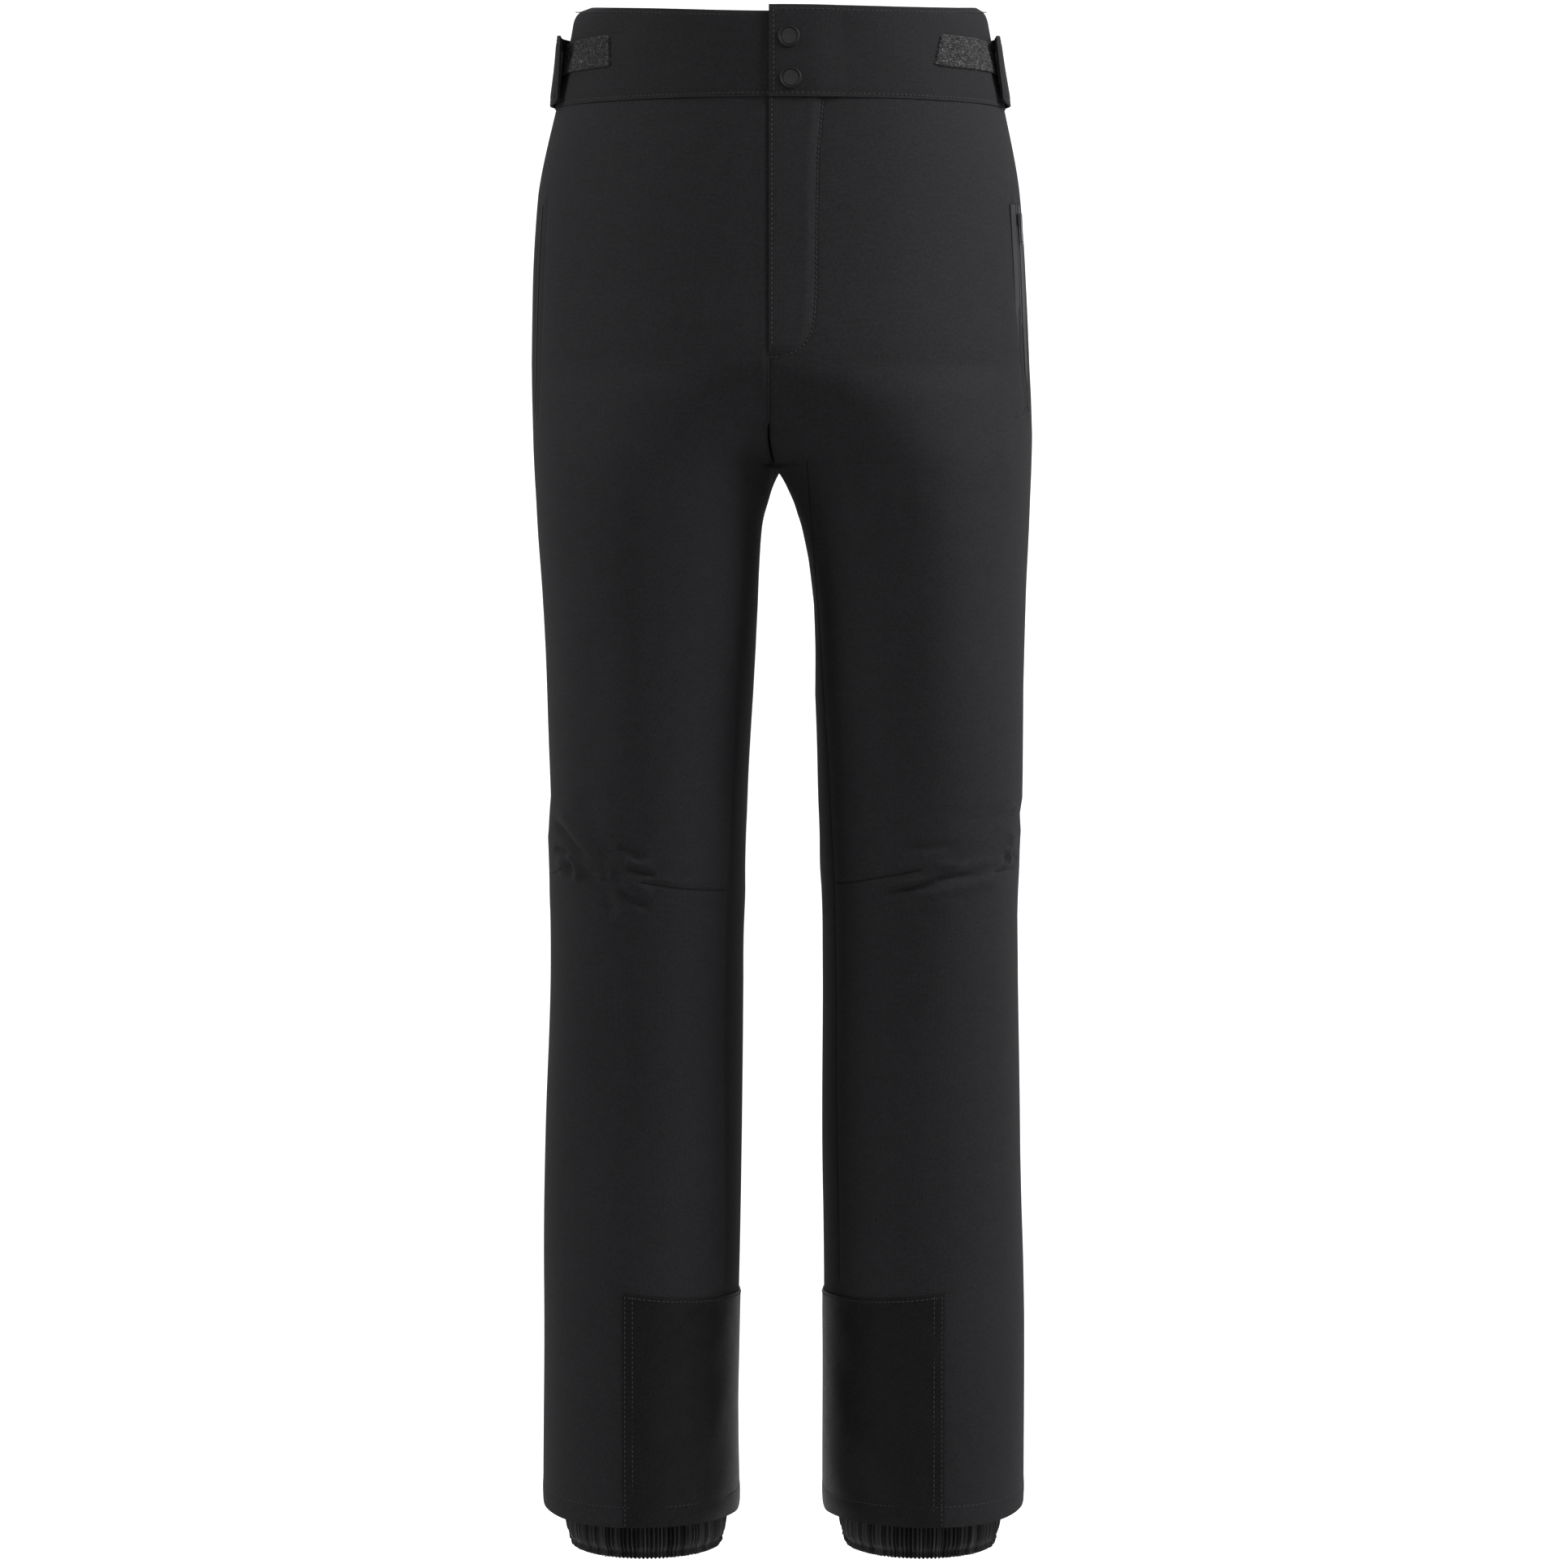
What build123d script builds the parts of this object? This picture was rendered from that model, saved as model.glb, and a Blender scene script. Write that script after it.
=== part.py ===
"""Men's ski pants: waistband with snaps and side adjusters, zip fly, jointed legs, scuff guards, gaiters.

Frame: origin at the centre of the waist opening, +Z up, -Y to the wearer's front, +X to the wearer's
left. Millimetres. Left-hand pieces are modelled and mirrored in the plane x = 0 for the right.
"""

from build123d import *
import math
import os

# ---------------------------------------------------------------------------------------------------
# Driving dimensions
# ---------------------------------------------------------------------------------------------------

WALL = 1.5  # shell fabric with its backing
LIFT = 0.05  # air between a patch and the cloth that it is sewn to
BAND_WALL = 3.0  # folded waistband
WAIST_SLOPE = 0.09  # rise of the waist edge towards the back, mm per mm
FRONT_SLOPE = 20 / 240  # the straight centre front leans outwards going down
FRONT_TOP_Y = -105.0  # centre front at FRONT_TOP_Z
FRONT_TOP_Z = -10.0

WAIST_SEAM_Z = -71.0
HIP_END_Z = -367.0  # end of the hip panels, below the crotch
THIGH_TOP_Z = -457.0
THIGH_END_Z = -551.0
SHIN_TOP_Z = -675.0
HEM_Z = -1057.0
GUARD_TOP_Z = -900.0
GAITER_TOP_Z = -860.0
GAITER_BAND_Z = -1066.0
GAITER_END_Z = -1082.0

# Horizontal sections of the left half: height, outer edge, inner edge, front, back.
# Above the crotch the inner edge lies beyond x = 0 and the section is cut off there.
SECTIONS = [
    (20.0, 143.0, -143.0, -102.5, 113.0),
    (-10.0, 147.0, -147.0, -105.0, 116.0),
    (-71.0, 160.0, -160.0, -110.1, 125.0),
    (-130.0, 171.0, -171.0, -115.0, 138.0),
    (-190.0, 174.5, -174.5, -120.0, 149.0),
    (-250.0, 176.0, -176.0, -125.0, 152.0),
    (-275.0, 176.0, -86.7, -125.5, 148.0),
    (-300.0, 176.0, -33.5, -124.5, 139.0),
    (-324.0, 175.5, 0.0, -122.5, 129.0),
    (-345.0, 174.5, 8.0, -120.5, 121.0),
    (-367.0, 173.5, 14.0, -118.0, 114.0),
    (-412.0, 171.0, 18.5, -114.0, 103.0),
    (-457.0, 169.5, 21.0, -109.5, 94.0),
    (-504.0, 168.5, 23.0, -105.0, 87.0),
    (-551.0, 167.5, 24.5, -101.0, 80.5),
    (-613.0, 166.0, 26.0, -98.0, 75.0),
    (-675.0, 165.5, 27.5, -94.0, 76.0),
    (-797.0, 168.0, 28.0, -89.0, 82.0),
    (-860.0, 169.4, 28.5, -88.3, 85.0),
    (-900.0, 170.0, 29.0, -88.0, 87.0),
    (-1057.0, 170.0, 30.0, -88.0, 92.0),
]

# Sections of the gaiter, same columns.
GAITER_SECTIONS = [
    (-860.0, 167.4, 30.5, -86.3, 83.0),
    (-900.0, 164.0, 34.0, -83.0, 82.0),
    (-1000.0, 157.0, 40.0, -76.0, 78.0),
    (-1066.0, 153.0, 42.5, -71.0, 74.0),
    (-1082.0, 151.0, 44.0, -69.0, 72.0),
]
GAITER_WALL = 1.0
ELASTIC_WALL = 1.2
ELASTIC_MARGIN = 2.0  # above the elastic in its casing
CASING_FLOOR = 2.0  # turned-up cloth at the casing's lower edge
CASING_GAP = 0.3

# Fly
FLY_X = 4.5  # line of the zip and of the snaps
FLY_OPENING = 9.0
FLY_END_Z = -242.0
FLAP_EDGE_X = -10.0
FLAP_HINGE_X = 28.0
FLAP_END_Z = -250.0
FLAP_CORNER = 22.0
FLAP_OUT = 1.6  # how far the flap's inner face stands off the shell
PLACKET_WALL = 1.5
OVERLAP_WALL = 2.4
OVERLAP_TOP_Z = -9.0
HINGE_GAP = 2.0  # from the flap's hinge line to the band's ends on both sides of it
SHIELD_DEPTH = 4.6
SHIELD_WALL = 1.0
SHIELD_X = (-9.5, 22.5)

# Zips
TAPE_WALL = 0.6
TAPE_WIDTH = 14.0  # from the zip's middle to the tape's outer edge
POCKET_TAPE_MARGIN = 6.0  # of tape beyond the pocket's slit
TAPE_DEPTH = 1.55
COIL = 1.4  # side of one coil's section
COIL_GAP = 1.0  # between the two coils
SLIDER_WIDTH = 7.6
SLIDER_LENGTH = 9.0
SLIDER_CORNER = 1.5
PLATE = 0.7  # slider's upper and lower plates
SLIDER_CLEARANCE = 0.2
SLIDER_POST = 0.6
PULL_LENGTH = 22.0
PULL_WIDTH = 4.0
PULL_WALL = 0.8
PULL_CLEARANCE = 0.15
FLY_SLIDER_REST = -12.0  # along the front, measured from the waist seam
STOP_LENGTH = 3.0
STOP_CLEARANCE = 0.2

# Snaps
SNAP_HEIGHTS = (-30.0, -58.5)
CAP_RADIUS = 7.5
CAP_WALL = 1.6
CAP_CLEARANCE = 0.1
POST_RADIUS = 1.5
POST_CLEARANCE = 0.1
SOCKET_RADIUS = 5.0
SOCKET_HOLE = 1.85
SOCKET_DEPTH = 0.45
SOCKET_WALL = 0.8
STUD_RADIUS = 1.5
STUD_BASE_RADIUS = 4.5
STUD_BASE_WALL = 0.3
STUD_HEIGHT = 0.7
STUD_LIFT = 0.03

# Side adjusters, on the waistband
TAB_Z = (-68.5, -21.0)
TAB_Y = (-26.0, 60.0)
TAB_OFFSET = 2.8
TAB_WALL = 1.6
TAB_CORNER = 4.0
BAND_SEAM_Y = TAB_Y[1] + 5.0  # fronts and back of the band meet behind the tabs
PATCH_Z = (-48.0, -25.0)
PATCH_Y = (-69.0, -4.0)
PATCH_WALL = 1.2
PATCH_CORNER = 5.0
HOOK_Y = (-24.0, -2.0)
HOOK_Z = (-56.0, -33.0)
HOOK_WALL = 1.1
HOOK_CORNER = 3.0

# Hand pockets in the outseams
POCKET_Z = (-285.0, -140.0)
POCKET_Y = -21.0
POCKET_SLIT = 10.0
POCKET_SLIDER_DROP = 10.0  # from the slit's ends to the slider's middle at its two limits
POCKET_CLEARANCE = 0.8
POCKET_COIL_GAP = 2.8  # wider than the fly's, because the zip's plane is turned round the hip
BAG_Z = (-330.0, -112.0)
BAG_Y = (-96.0, -12.0)
BAG_DEPTH = 4.4
BAG_WALL = 1.2
BAG_CORNER = 25.0

SEAM_Y_OUTER = 0.0  # front and back panels meet here on the outer side of the leg
SEAM_Y_INNER = -44.0  # and here on its inner side
GUARD_WALL = 1.0
GUARD_SPAN_X = 111.0  # the guard runs from the inner side to this x, front and back

LEG_WIDTH = 140.0
LEG_OUTER_X = 170.0
BAND_TOP_Z = 20.0  # highest level of SECTIONS
REACH = 1500.0  # larger than the whole garment, for cutting solids
HALF_REACH = 100.0  # beyond it there is only the outer side of the hips

os.makedirs("parts", exist_ok=True)


# ---------------------------------------------------------------------------------------------------
# Construction helpers
# ---------------------------------------------------------------------------------------------------

def front_y(z):
    """Centre front of the hips at height z."""
    return FRONT_TOP_Y + (z - FRONT_TOP_Z) * FRONT_SLOPE


def lofted(sections, bottom, top, offset=0.0):
    """Solid through the elliptical sections from bottom to top, grown outwards by offset."""
    with BuildPart() as solid:
        for z, outer, inner, front, back in sections:
            if bottom <= z <= top:
                with BuildSketch(Plane.XY.offset(z)):
                    with Locations(((outer + inner) / 2, (front + back) / 2)):
                        Ellipse((outer - inner) / 2 + offset, (back - front) / 2 + offset)
        loft(ruled=True)
    return solid.part


def layer(bottom, top, outside, inside, sections=SECTIONS):
    """Closed tube of cloth between two offsets of the garment's surface."""
    outer = lofted(sections, bottom, top, outside)
    inner = lofted(sections, bottom, top, inside)
    with BuildPart() as tube:
        add(outer)
        add(inner, mode=Mode.SUBTRACT)
    return tube.part


def block(x_range, y_range, z_range):
    """Plain cutting block from its three ranges."""
    sizes = [high - low for low, high in (x_range, y_range, z_range)]
    middle = [(high + low) / 2 for low, high in (x_range, y_range, z_range)]
    with BuildPart() as cutter:
        with Locations(tuple(middle)):
            Box(*sizes)
    return cutter.part


def side_patch(y_range, z_range, radius):
    """Cutting block for a patch with rounded corners on the wearer's left side."""
    with BuildPart() as cutter:
        with BuildSketch(Plane.YZ):
            with Locations((sum(y_range) / 2, sum(z_range) / 2)):
                RectangleRounded(y_range[1] - y_range[0], z_range[1] - z_range[0], radius)
        extrude(amount=REACH)
        split(bisect_by=Plane.YZ.offset(HALF_REACH), keep=Keep.TOP)
    return cutter.part


def kept(solid, *cutters):
    """The solid inside every cutter."""
    with BuildPart() as piece:
        add(solid)
        for cutter in cutters:
            add(cutter, mode=Mode.INTERSECT)
    return piece.part


def without(solid, *cutters):
    """The solid outside every cutter."""
    with BuildPart() as piece:
        add(solid)
        for cutter in cutters:
            add(cutter, mode=Mode.SUBTRACT)
    return piece.part


def mirrored(solid):
    """The same piece on the wearer's right."""
    with BuildPart() as piece:
        mirror(solid, about=Plane.YZ)
    return piece.part


def split_in_two(solid, seam):
    """The front and the back of a tube, parted by the plane of its seams."""
    halves = []
    for side in (Keep.TOP, Keep.BOTTOM):
        with BuildPart() as half:
            add(solid)
            split(bisect_by=seam, keep=side)
        halves.append(half.part)
    return halves


def write(solid, name):
    """Label a finished piece and write it."""
    solid.label = name
    export_step(solid, f"parts/{name}.step")


def write_pair(solid, name):
    """Write a left piece and its mirrored right one."""
    right = mirrored(solid)
    write(solid, f"{name}_left")
    write(right, f"{name}_right")


LEFT = block((0, REACH), (-REACH, REACH), (-REACH, REACH))
FRONT_PLANE = Plane(
    origin=(0, front_y(WAIST_SEAM_Z), WAIST_SEAM_Z),
    x_dir=(1, 0, 0),
    z_dir=(0, -math.cos(math.atan(FRONT_SLOPE)), math.sin(math.atan(FRONT_SLOPE))),
)
HIP_SEAM = Plane(origin=(0, SEAM_Y_OUTER, 0), x_dir=(1, 0, 0), z_dir=(0, -1, 0))
LEG_SEAM_SLOPE = (SEAM_Y_OUTER - SEAM_Y_INNER) / LEG_WIDTH
LEG_SEAM = Plane(
    origin=(LEG_OUTER_X, SEAM_Y_OUTER, 0),
    x_dir=(1, LEG_SEAM_SLOPE, 0),
    z_dir=(LEG_SEAM_SLOPE, -1, 0),
)


# ---------------------------------------------------------------------------------------------------
# Waistband
# ---------------------------------------------------------------------------------------------------

def waistband():
    """Back piece and the two fronts, the right one running on under the overlap."""
    band = layer(WAIST_SEAM_Z, BAND_TOP_Z, 0, -BAND_WALL)
    slope = Plane(origin=(0, 0, 0), x_dir=(1, 0, 0), z_dir=(0, -WAIST_SLOPE, 1))
    with BuildPart() as trimmed:
        add(band)
        split(bisect_by=slope, keep=Keep.BOTTOM)
    above = (WAIST_SEAM_Z, REACH)
    back = block((-REACH, REACH), (BAND_SEAM_Y, REACH), above)
    front_left = block((FLAP_HINGE_X + HINGE_GAP, REACH), (-REACH, BAND_SEAM_Y), above)
    front_right = block((-REACH, FLAP_HINGE_X - HINGE_GAP), (-REACH, BAND_SEAM_Y), above)
    write(kept(trimmed.part, back), "waistband_back")
    write(kept(trimmed.part, front_left), "waistband_front_left")
    write(kept(trimmed.part, front_right), "waistband_front_right")


def waist_adjusters():
    """Loop patch on the band, and the tab with its hook pad, both sides."""
    below, above = WAIST_SEAM_Z, BAND_TOP_Z
    patch = kept(
        layer(below, above, PATCH_WALL, LIFT), side_patch(PATCH_Y, PATCH_Z, PATCH_CORNER)
    )
    tab = kept(
        layer(below, above, TAB_OFFSET + TAB_WALL, TAB_OFFSET),
        side_patch(TAB_Y, TAB_Z, TAB_CORNER),
    )
    hook = kept(
        layer(below, above, TAB_OFFSET, TAB_OFFSET - HOOK_WALL),
        side_patch(HOOK_Y, HOOK_Z, HOOK_CORNER),
    )
    write_pair(patch, "loop_patch")
    write_pair(tab, "waist_tab")
    write_pair(hook, "hook_pad")


# ---------------------------------------------------------------------------------------------------
# Front flap: overlap of the waistband, fly placket, snaps
# ---------------------------------------------------------------------------------------------------

def front_flap():
    """The overlap and the placket below it, with the placket's round lower corner."""
    outline_x = (FLAP_EDGE_X, FLAP_HINGE_X)
    overlap = kept(
        layer(WAIST_SEAM_Z, BAND_TOP_Z, FLAP_OUT + OVERLAP_WALL, FLAP_OUT),
        block(outline_x, (-REACH, 0), (WAIST_SEAM_Z, OVERLAP_TOP_Z)),
    )
    with BuildPart() as posts:
        for height in SNAP_HEIGHTS:
            with BuildSketch(FRONT_PLANE):
                with Locations((FLY_X, height - WAIST_SEAM_Z)):
                    Circle(POST_RADIUS + POST_CLEARANCE)
            extrude(amount=REACH)
    write(without(overlap, posts.part), "waistband_overlap")

    with BuildPart() as outline:
        with BuildSketch(Plane.XZ):
            with BuildLine():
                corner_z = FLAP_END_Z + FLAP_CORNER
                Polyline(
                    (FLAP_HINGE_X, corner_z),
                    (FLAP_HINGE_X, WAIST_SEAM_Z),
                    (FLAP_EDGE_X, WAIST_SEAM_Z),
                    (FLAP_EDGE_X, FLAP_END_Z),
                    (FLAP_HINGE_X - FLAP_CORNER, FLAP_END_Z),
                )
                RadiusArc(
                    (FLAP_HINGE_X - FLAP_CORNER, FLAP_END_Z), (FLAP_HINGE_X, corner_z), -FLAP_CORNER
                )
            make_face()
        extrude(amount=REACH)
    placket = layer(FLAP_END_Z, WAIST_SEAM_Z, FLAP_OUT + PLACKET_WALL, FLAP_OUT)
    write(kept(placket, outline.part), "fly_placket")


def snap_discs(depth, thickness, radius, hole=0.0):
    """One disc per snap, parallel to the centre front, its inner face at depth."""
    with BuildPart() as discs:
        for height in SNAP_HEIGHTS:
            with BuildSketch(FRONT_PLANE.offset(depth)):
                with Locations((FLY_X, height - WAIST_SEAM_Z)):
                    Circle(radius)
                    if hole:
                        Circle(hole, mode=Mode.SUBTRACT)
            extrude(amount=thickness)
    return discs.part


def snaps():
    """Caps and sockets on the flap, studs on the underlap."""
    cap_depth = FLAP_OUT + OVERLAP_WALL + CAP_CLEARANCE
    socket_top = SOCKET_DEPTH + SOCKET_WALL
    stud_base_top = STUD_LIFT + STUD_BASE_WALL
    with BuildPart() as caps:
        add(snap_discs(cap_depth, CAP_WALL, CAP_RADIUS))
        fillet(caps.faces().sort_by(Axis.Y)[:2].edges(), CAP_WALL * 0.4)
        add(snap_discs(socket_top, cap_depth - socket_top, POST_RADIUS))
    write(caps.part, "snap_caps")
    write(snap_discs(SOCKET_DEPTH, SOCKET_WALL, SOCKET_RADIUS, SOCKET_HOLE), "snap_sockets")
    with BuildPart() as studs:
        add(snap_discs(STUD_LIFT, STUD_BASE_WALL, STUD_BASE_RADIUS))
        add(snap_discs(stud_base_top, STUD_HEIGHT, STUD_RADIUS))
    write(studs.part, "snap_studs")


# ---------------------------------------------------------------------------------------------------
# Zips
# ---------------------------------------------------------------------------------------------------

def zip_slider(plane, along, clearance):
    """Two plates joined by a post between the coils. The plane is the cloth's outer face."""
    centre = TAPE_DEPTH + TAPE_WALL / 2
    half_gap = COIL / 2 + clearance
    with BuildPart() as slider:
        for depth in (centre - half_gap, centre + half_gap + PLATE):
            with BuildSketch(plane.offset(-depth)):
                with Locations((0, along)):
                    RectangleRounded(SLIDER_WIDTH, SLIDER_LENGTH, SLIDER_CORNER)
            extrude(amount=PLATE)
        with BuildSketch(plane.offset(-(centre + half_gap))):
            with Locations((0, along)):
                Rectangle(SLIDER_POST, SLIDER_LENGTH * 0.6)
        extrude(amount=2 * half_gap)
    return slider.part


def zip_pull(plane, along, clearance):
    """Flat pull lying on the slider's outer plate and hanging below it."""
    outer_face = TAPE_DEPTH + TAPE_WALL / 2 - COIL / 2 - clearance - PLATE
    with BuildPart() as pull:
        with BuildSketch(plane.offset(-outer_face + PULL_CLEARANCE)):
            with Locations((0, along + SLIDER_LENGTH / 2 - PULL_LENGTH / 2)):
                RectangleRounded(PULL_WIDTH, PULL_LENGTH, PULL_WIDTH * 0.45)
            with Locations((0, along + SLIDER_LENGTH / 2 - PULL_LENGTH + PULL_WIDTH / 2)):
                Circle(PULL_WIDTH * 0.2, mode=Mode.SUBTRACT)
        extrude(amount=PULL_WALL)
    return pull.part


def fly_zip():
    """Tapes, coils, stops, shield, slider and pull of the fly."""
    z_range = (FLY_END_Z, WAIST_SEAM_Z)
    half_gap = COIL_GAP / 2
    tape = layer(FLAP_END_Z, WAIST_SEAM_Z, -TAPE_DEPTH, -TAPE_DEPTH - TAPE_WALL)
    beyond_coil = half_gap + COIL
    with BuildPart() as tapes:
        add(kept(tape, block((FLY_X + beyond_coil, FLY_X + TAPE_WIDTH), (-REACH, 0), z_range)))
        add(kept(tape, block((FLY_X - TAPE_WIDTH, FLY_X - beyond_coil), (-REACH, 0), z_range)))
    write(tapes.part, "fly_zip_tapes")

    plane = Plane(
        origin=FRONT_PLANE.from_local_coords((FLY_X, 0, 0)),
        x_dir=FRONT_PLANE.x_dir,
        z_dir=FRONT_PLANE.z_dir,
    )
    length = WAIST_SEAM_Z - FLY_END_Z - 2 * STOP_LENGTH
    centre = TAPE_DEPTH + TAPE_WALL / 2
    with BuildPart() as coils:
        with BuildSketch(plane.offset(-centre - COIL / 2)):
            for side in (-1, 1):
                with Locations((side * (half_gap + COIL / 2), -STOP_LENGTH - length / 2)):
                    Rectangle(COIL, length)
        extrude(amount=COIL)
    write(coils.part, "fly_zip_coils")
    with BuildPart() as stops:
        with BuildSketch(plane.offset(-centre - COIL / 2)):
            for side in (-1, 1):
                with Locations((side * (half_gap + COIL / 2), -STOP_LENGTH / 2 - STOP_CLEARANCE)):
                    Rectangle(COIL, STOP_LENGTH - 2 * STOP_CLEARANCE)
            with Locations((0, -STOP_LENGTH * 1.5 - length + STOP_CLEARANCE)):
                Rectangle(2 * COIL + COIL_GAP, STOP_LENGTH - 2 * STOP_CLEARANCE)
        extrude(amount=COIL)
    write(stops.part, "fly_zip_stops")

    shield = kept(
        layer(FLAP_END_Z, WAIST_SEAM_Z, -SHIELD_DEPTH, -SHIELD_DEPTH - SHIELD_WALL),
        block(SHIELD_X, (-REACH, 0), (FLAP_END_Z, WAIST_SEAM_Z)),
    )
    write(shield, "fly_shield")
    write(zip_slider(plane, FLY_SLIDER_REST, SLIDER_CLEARANCE), "fly_zip_slider")
    write(zip_pull(plane, FLY_SLIDER_REST, SLIDER_CLEARANCE), "fly_zip_pull")


def hip_x(z, y):
    """Outer face of the hips at height z and depth y, on the wearer's left."""
    for upper, lower in zip(SECTIONS, SECTIONS[1:]):
        if lower[0] <= z <= upper[0]:
            share = (upper[0] - z) / (upper[0] - lower[0])
            outer, inner, front, back = (
                a + (b - a) * share for a, b in zip(upper[1:], lower[1:])
            )
    across = (y - (front + back) / 2) / ((back - front) / 2)
    return (outer + inner) / 2 + (outer - inner) / 2 * math.sqrt(1 - across**2)


def pocket_plane():
    """Plane of the left pocket's zip: x across the zip, y up along it, z outwards."""
    low, high = POCKET_Z[0] + POCKET_SLIDER_DROP, POCKET_Z[1] - POCKET_SLIDER_DROP
    lower = Vector(hip_x(low, POCKET_Y), POCKET_Y, low)
    upper = Vector(hip_x(high, POCKET_Y), POCKET_Y, high)
    up = (upper - lower).normalized()
    ahead = hip_x((low + high) / 2, POCKET_Y - 5)
    behind = hip_x((low + high) / 2, POCKET_Y + 5)
    across = Vector(behind - ahead, 10, 0).normalized()
    return Plane(origin=upper, x_dir=across, z_dir=across.cross(up))


def pocket_zips():
    """Tape with coils, slider, pull and bag of each hand pocket."""
    seam_range = (POCKET_Z[0], POCKET_Z[1])
    y_low = POCKET_Y - POCKET_SLIT / 2
    y_high = POCKET_Y + POCKET_SLIT / 2
    tube = layer(HIP_END_Z, WAIST_SEAM_Z, -TAPE_DEPTH, -TAPE_DEPTH - TAPE_WALL)
    beyond_coil = POCKET_COIL_GAP / 2 + COIL
    rear_y = (POCKET_Y + beyond_coil, y_high + POCKET_TAPE_MARGIN)
    front_y_range = (y_low - POCKET_TAPE_MARGIN, POCKET_Y - beyond_coil)
    with BuildPart() as tapes:
        add(kept(tube, block((HALF_REACH, REACH), rear_y, seam_range)))
        add(kept(tube, block((HALF_REACH, REACH), front_y_range, seam_range)))
    write_pair(tapes.part, "pocket_zip_tapes")
    centre = TAPE_DEPTH + TAPE_WALL / 2
    rope = layer(HIP_END_Z, WAIST_SEAM_Z, -centre + COIL / 2, -centre - COIL / 2)
    with BuildPart() as coils:
        for low in (POCKET_Y - beyond_coil, POCKET_Y + POCKET_COIL_GAP / 2):
            add(kept(rope, block((HALF_REACH, REACH), (low, low + COIL), seam_range)))
    write_pair(coils.part, "pocket_zip_coils")
    plane = pocket_plane()
    write_pair(zip_slider(plane, 0, POCKET_CLEARANCE), "pocket_zip_slider")
    write_pair(zip_pull(plane, 0, POCKET_CLEARANCE), "pocket_zip_pull")
    bag = layer(HIP_END_Z, WAIST_SEAM_Z, -BAG_DEPTH, -BAG_DEPTH - BAG_WALL)
    write_pair(kept(bag, side_patch(BAG_Y, BAG_Z, BAG_CORNER)), "pocket_bag")


# ---------------------------------------------------------------------------------------------------
# Shell panels
# ---------------------------------------------------------------------------------------------------

def hip_panels():
    """Front and back panels from the waist seam to below the crotch."""
    tube = kept(layer(HIP_END_Z, WAIST_SEAM_Z, 0, -WALL), LEFT)
    slit = block(
        (HALF_REACH, REACH), (POCKET_Y - POCKET_SLIT / 2, POCKET_Y + POCKET_SLIT / 2), POCKET_Z
    )
    front, back = split_in_two(without(tube, slit), HIP_SEAM)
    write(mirrored(front), "hip_panel_front_right")
    opening = block((0, FLY_OPENING), (-REACH, 0), (FLY_END_Z, WAIST_SEAM_Z))
    write(without(front, opening), "hip_panel_front_left")
    write_pair(back, "hip_panel_back")


def leg_tubes():
    """Thigh and shin panels, and the bending bands of cloth at hip and knee."""
    write_pair(layer(THIGH_TOP_Z, HIP_END_Z, 0, -WALL), "hip_bend")
    write_pair(layer(SHIN_TOP_Z, THIGH_END_Z, 0, -WALL), "knee_bend")
    for name, bottom, top in (("thigh", THIGH_END_Z, THIGH_TOP_Z), ("shin", HEM_Z, SHIN_TOP_Z)):
        front, back = split_in_two(layer(bottom, top, 0, -WALL), LEG_SEAM)
        write_pair(front, f"{name}_panel_front")
        write_pair(back, f"{name}_panel_back")


def scuff_guards():
    """Tough patch on the outside of each leg, round its inner side at the hem."""
    tube = layer(HEM_Z, GUARD_TOP_Z, GUARD_WALL + LIFT, LIFT)
    inner_side = block((0, GUARD_SPAN_X), (-REACH, REACH), (HEM_Z, GUARD_TOP_Z))
    write_pair(kept(tube, inner_side), "scuff_guard")


def gaiters():
    """Inner sleeve, bottom casing and the elastic in it."""
    sleeve = layer(GAITER_BAND_Z, GAITER_TOP_Z, 0, -GAITER_WALL, GAITER_SECTIONS)
    write_pair(sleeve, "gaiter_sleeve")
    casing_wall = GAITER_WALL * 2 + ELASTIC_WALL + 2 * CASING_GAP
    casing = layer(GAITER_END_Z, GAITER_BAND_Z, GAITER_WALL, GAITER_WALL - casing_wall, GAITER_SECTIONS)
    groove = kept(
        layer(GAITER_END_Z, GAITER_BAND_Z, 0, -ELASTIC_WALL - 2 * CASING_GAP, GAITER_SECTIONS),
        block((0, REACH), (-REACH, REACH), (GAITER_END_Z + CASING_FLOOR, GAITER_BAND_Z)),
    )
    elastic_bottom = GAITER_END_Z + CASING_FLOOR + CASING_GAP
    elastic = kept(
        layer(
            GAITER_END_Z, GAITER_BAND_Z, -CASING_GAP, -CASING_GAP - ELASTIC_WALL, GAITER_SECTIONS
        ),
        block((0, REACH), (-REACH, REACH), (elastic_bottom, GAITER_BAND_Z - ELASTIC_MARGIN)),
    )
    write_pair(without(casing, groove), "gaiter_casing")
    write_pair(elastic, "gaiter_elastic")


waistband()
waist_adjusters()
front_flap()
snaps()
fly_zip()
pocket_zips()
hip_panels()
leg_tubes()
scuff_guards()
gaiters()
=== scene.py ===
import math

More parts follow.
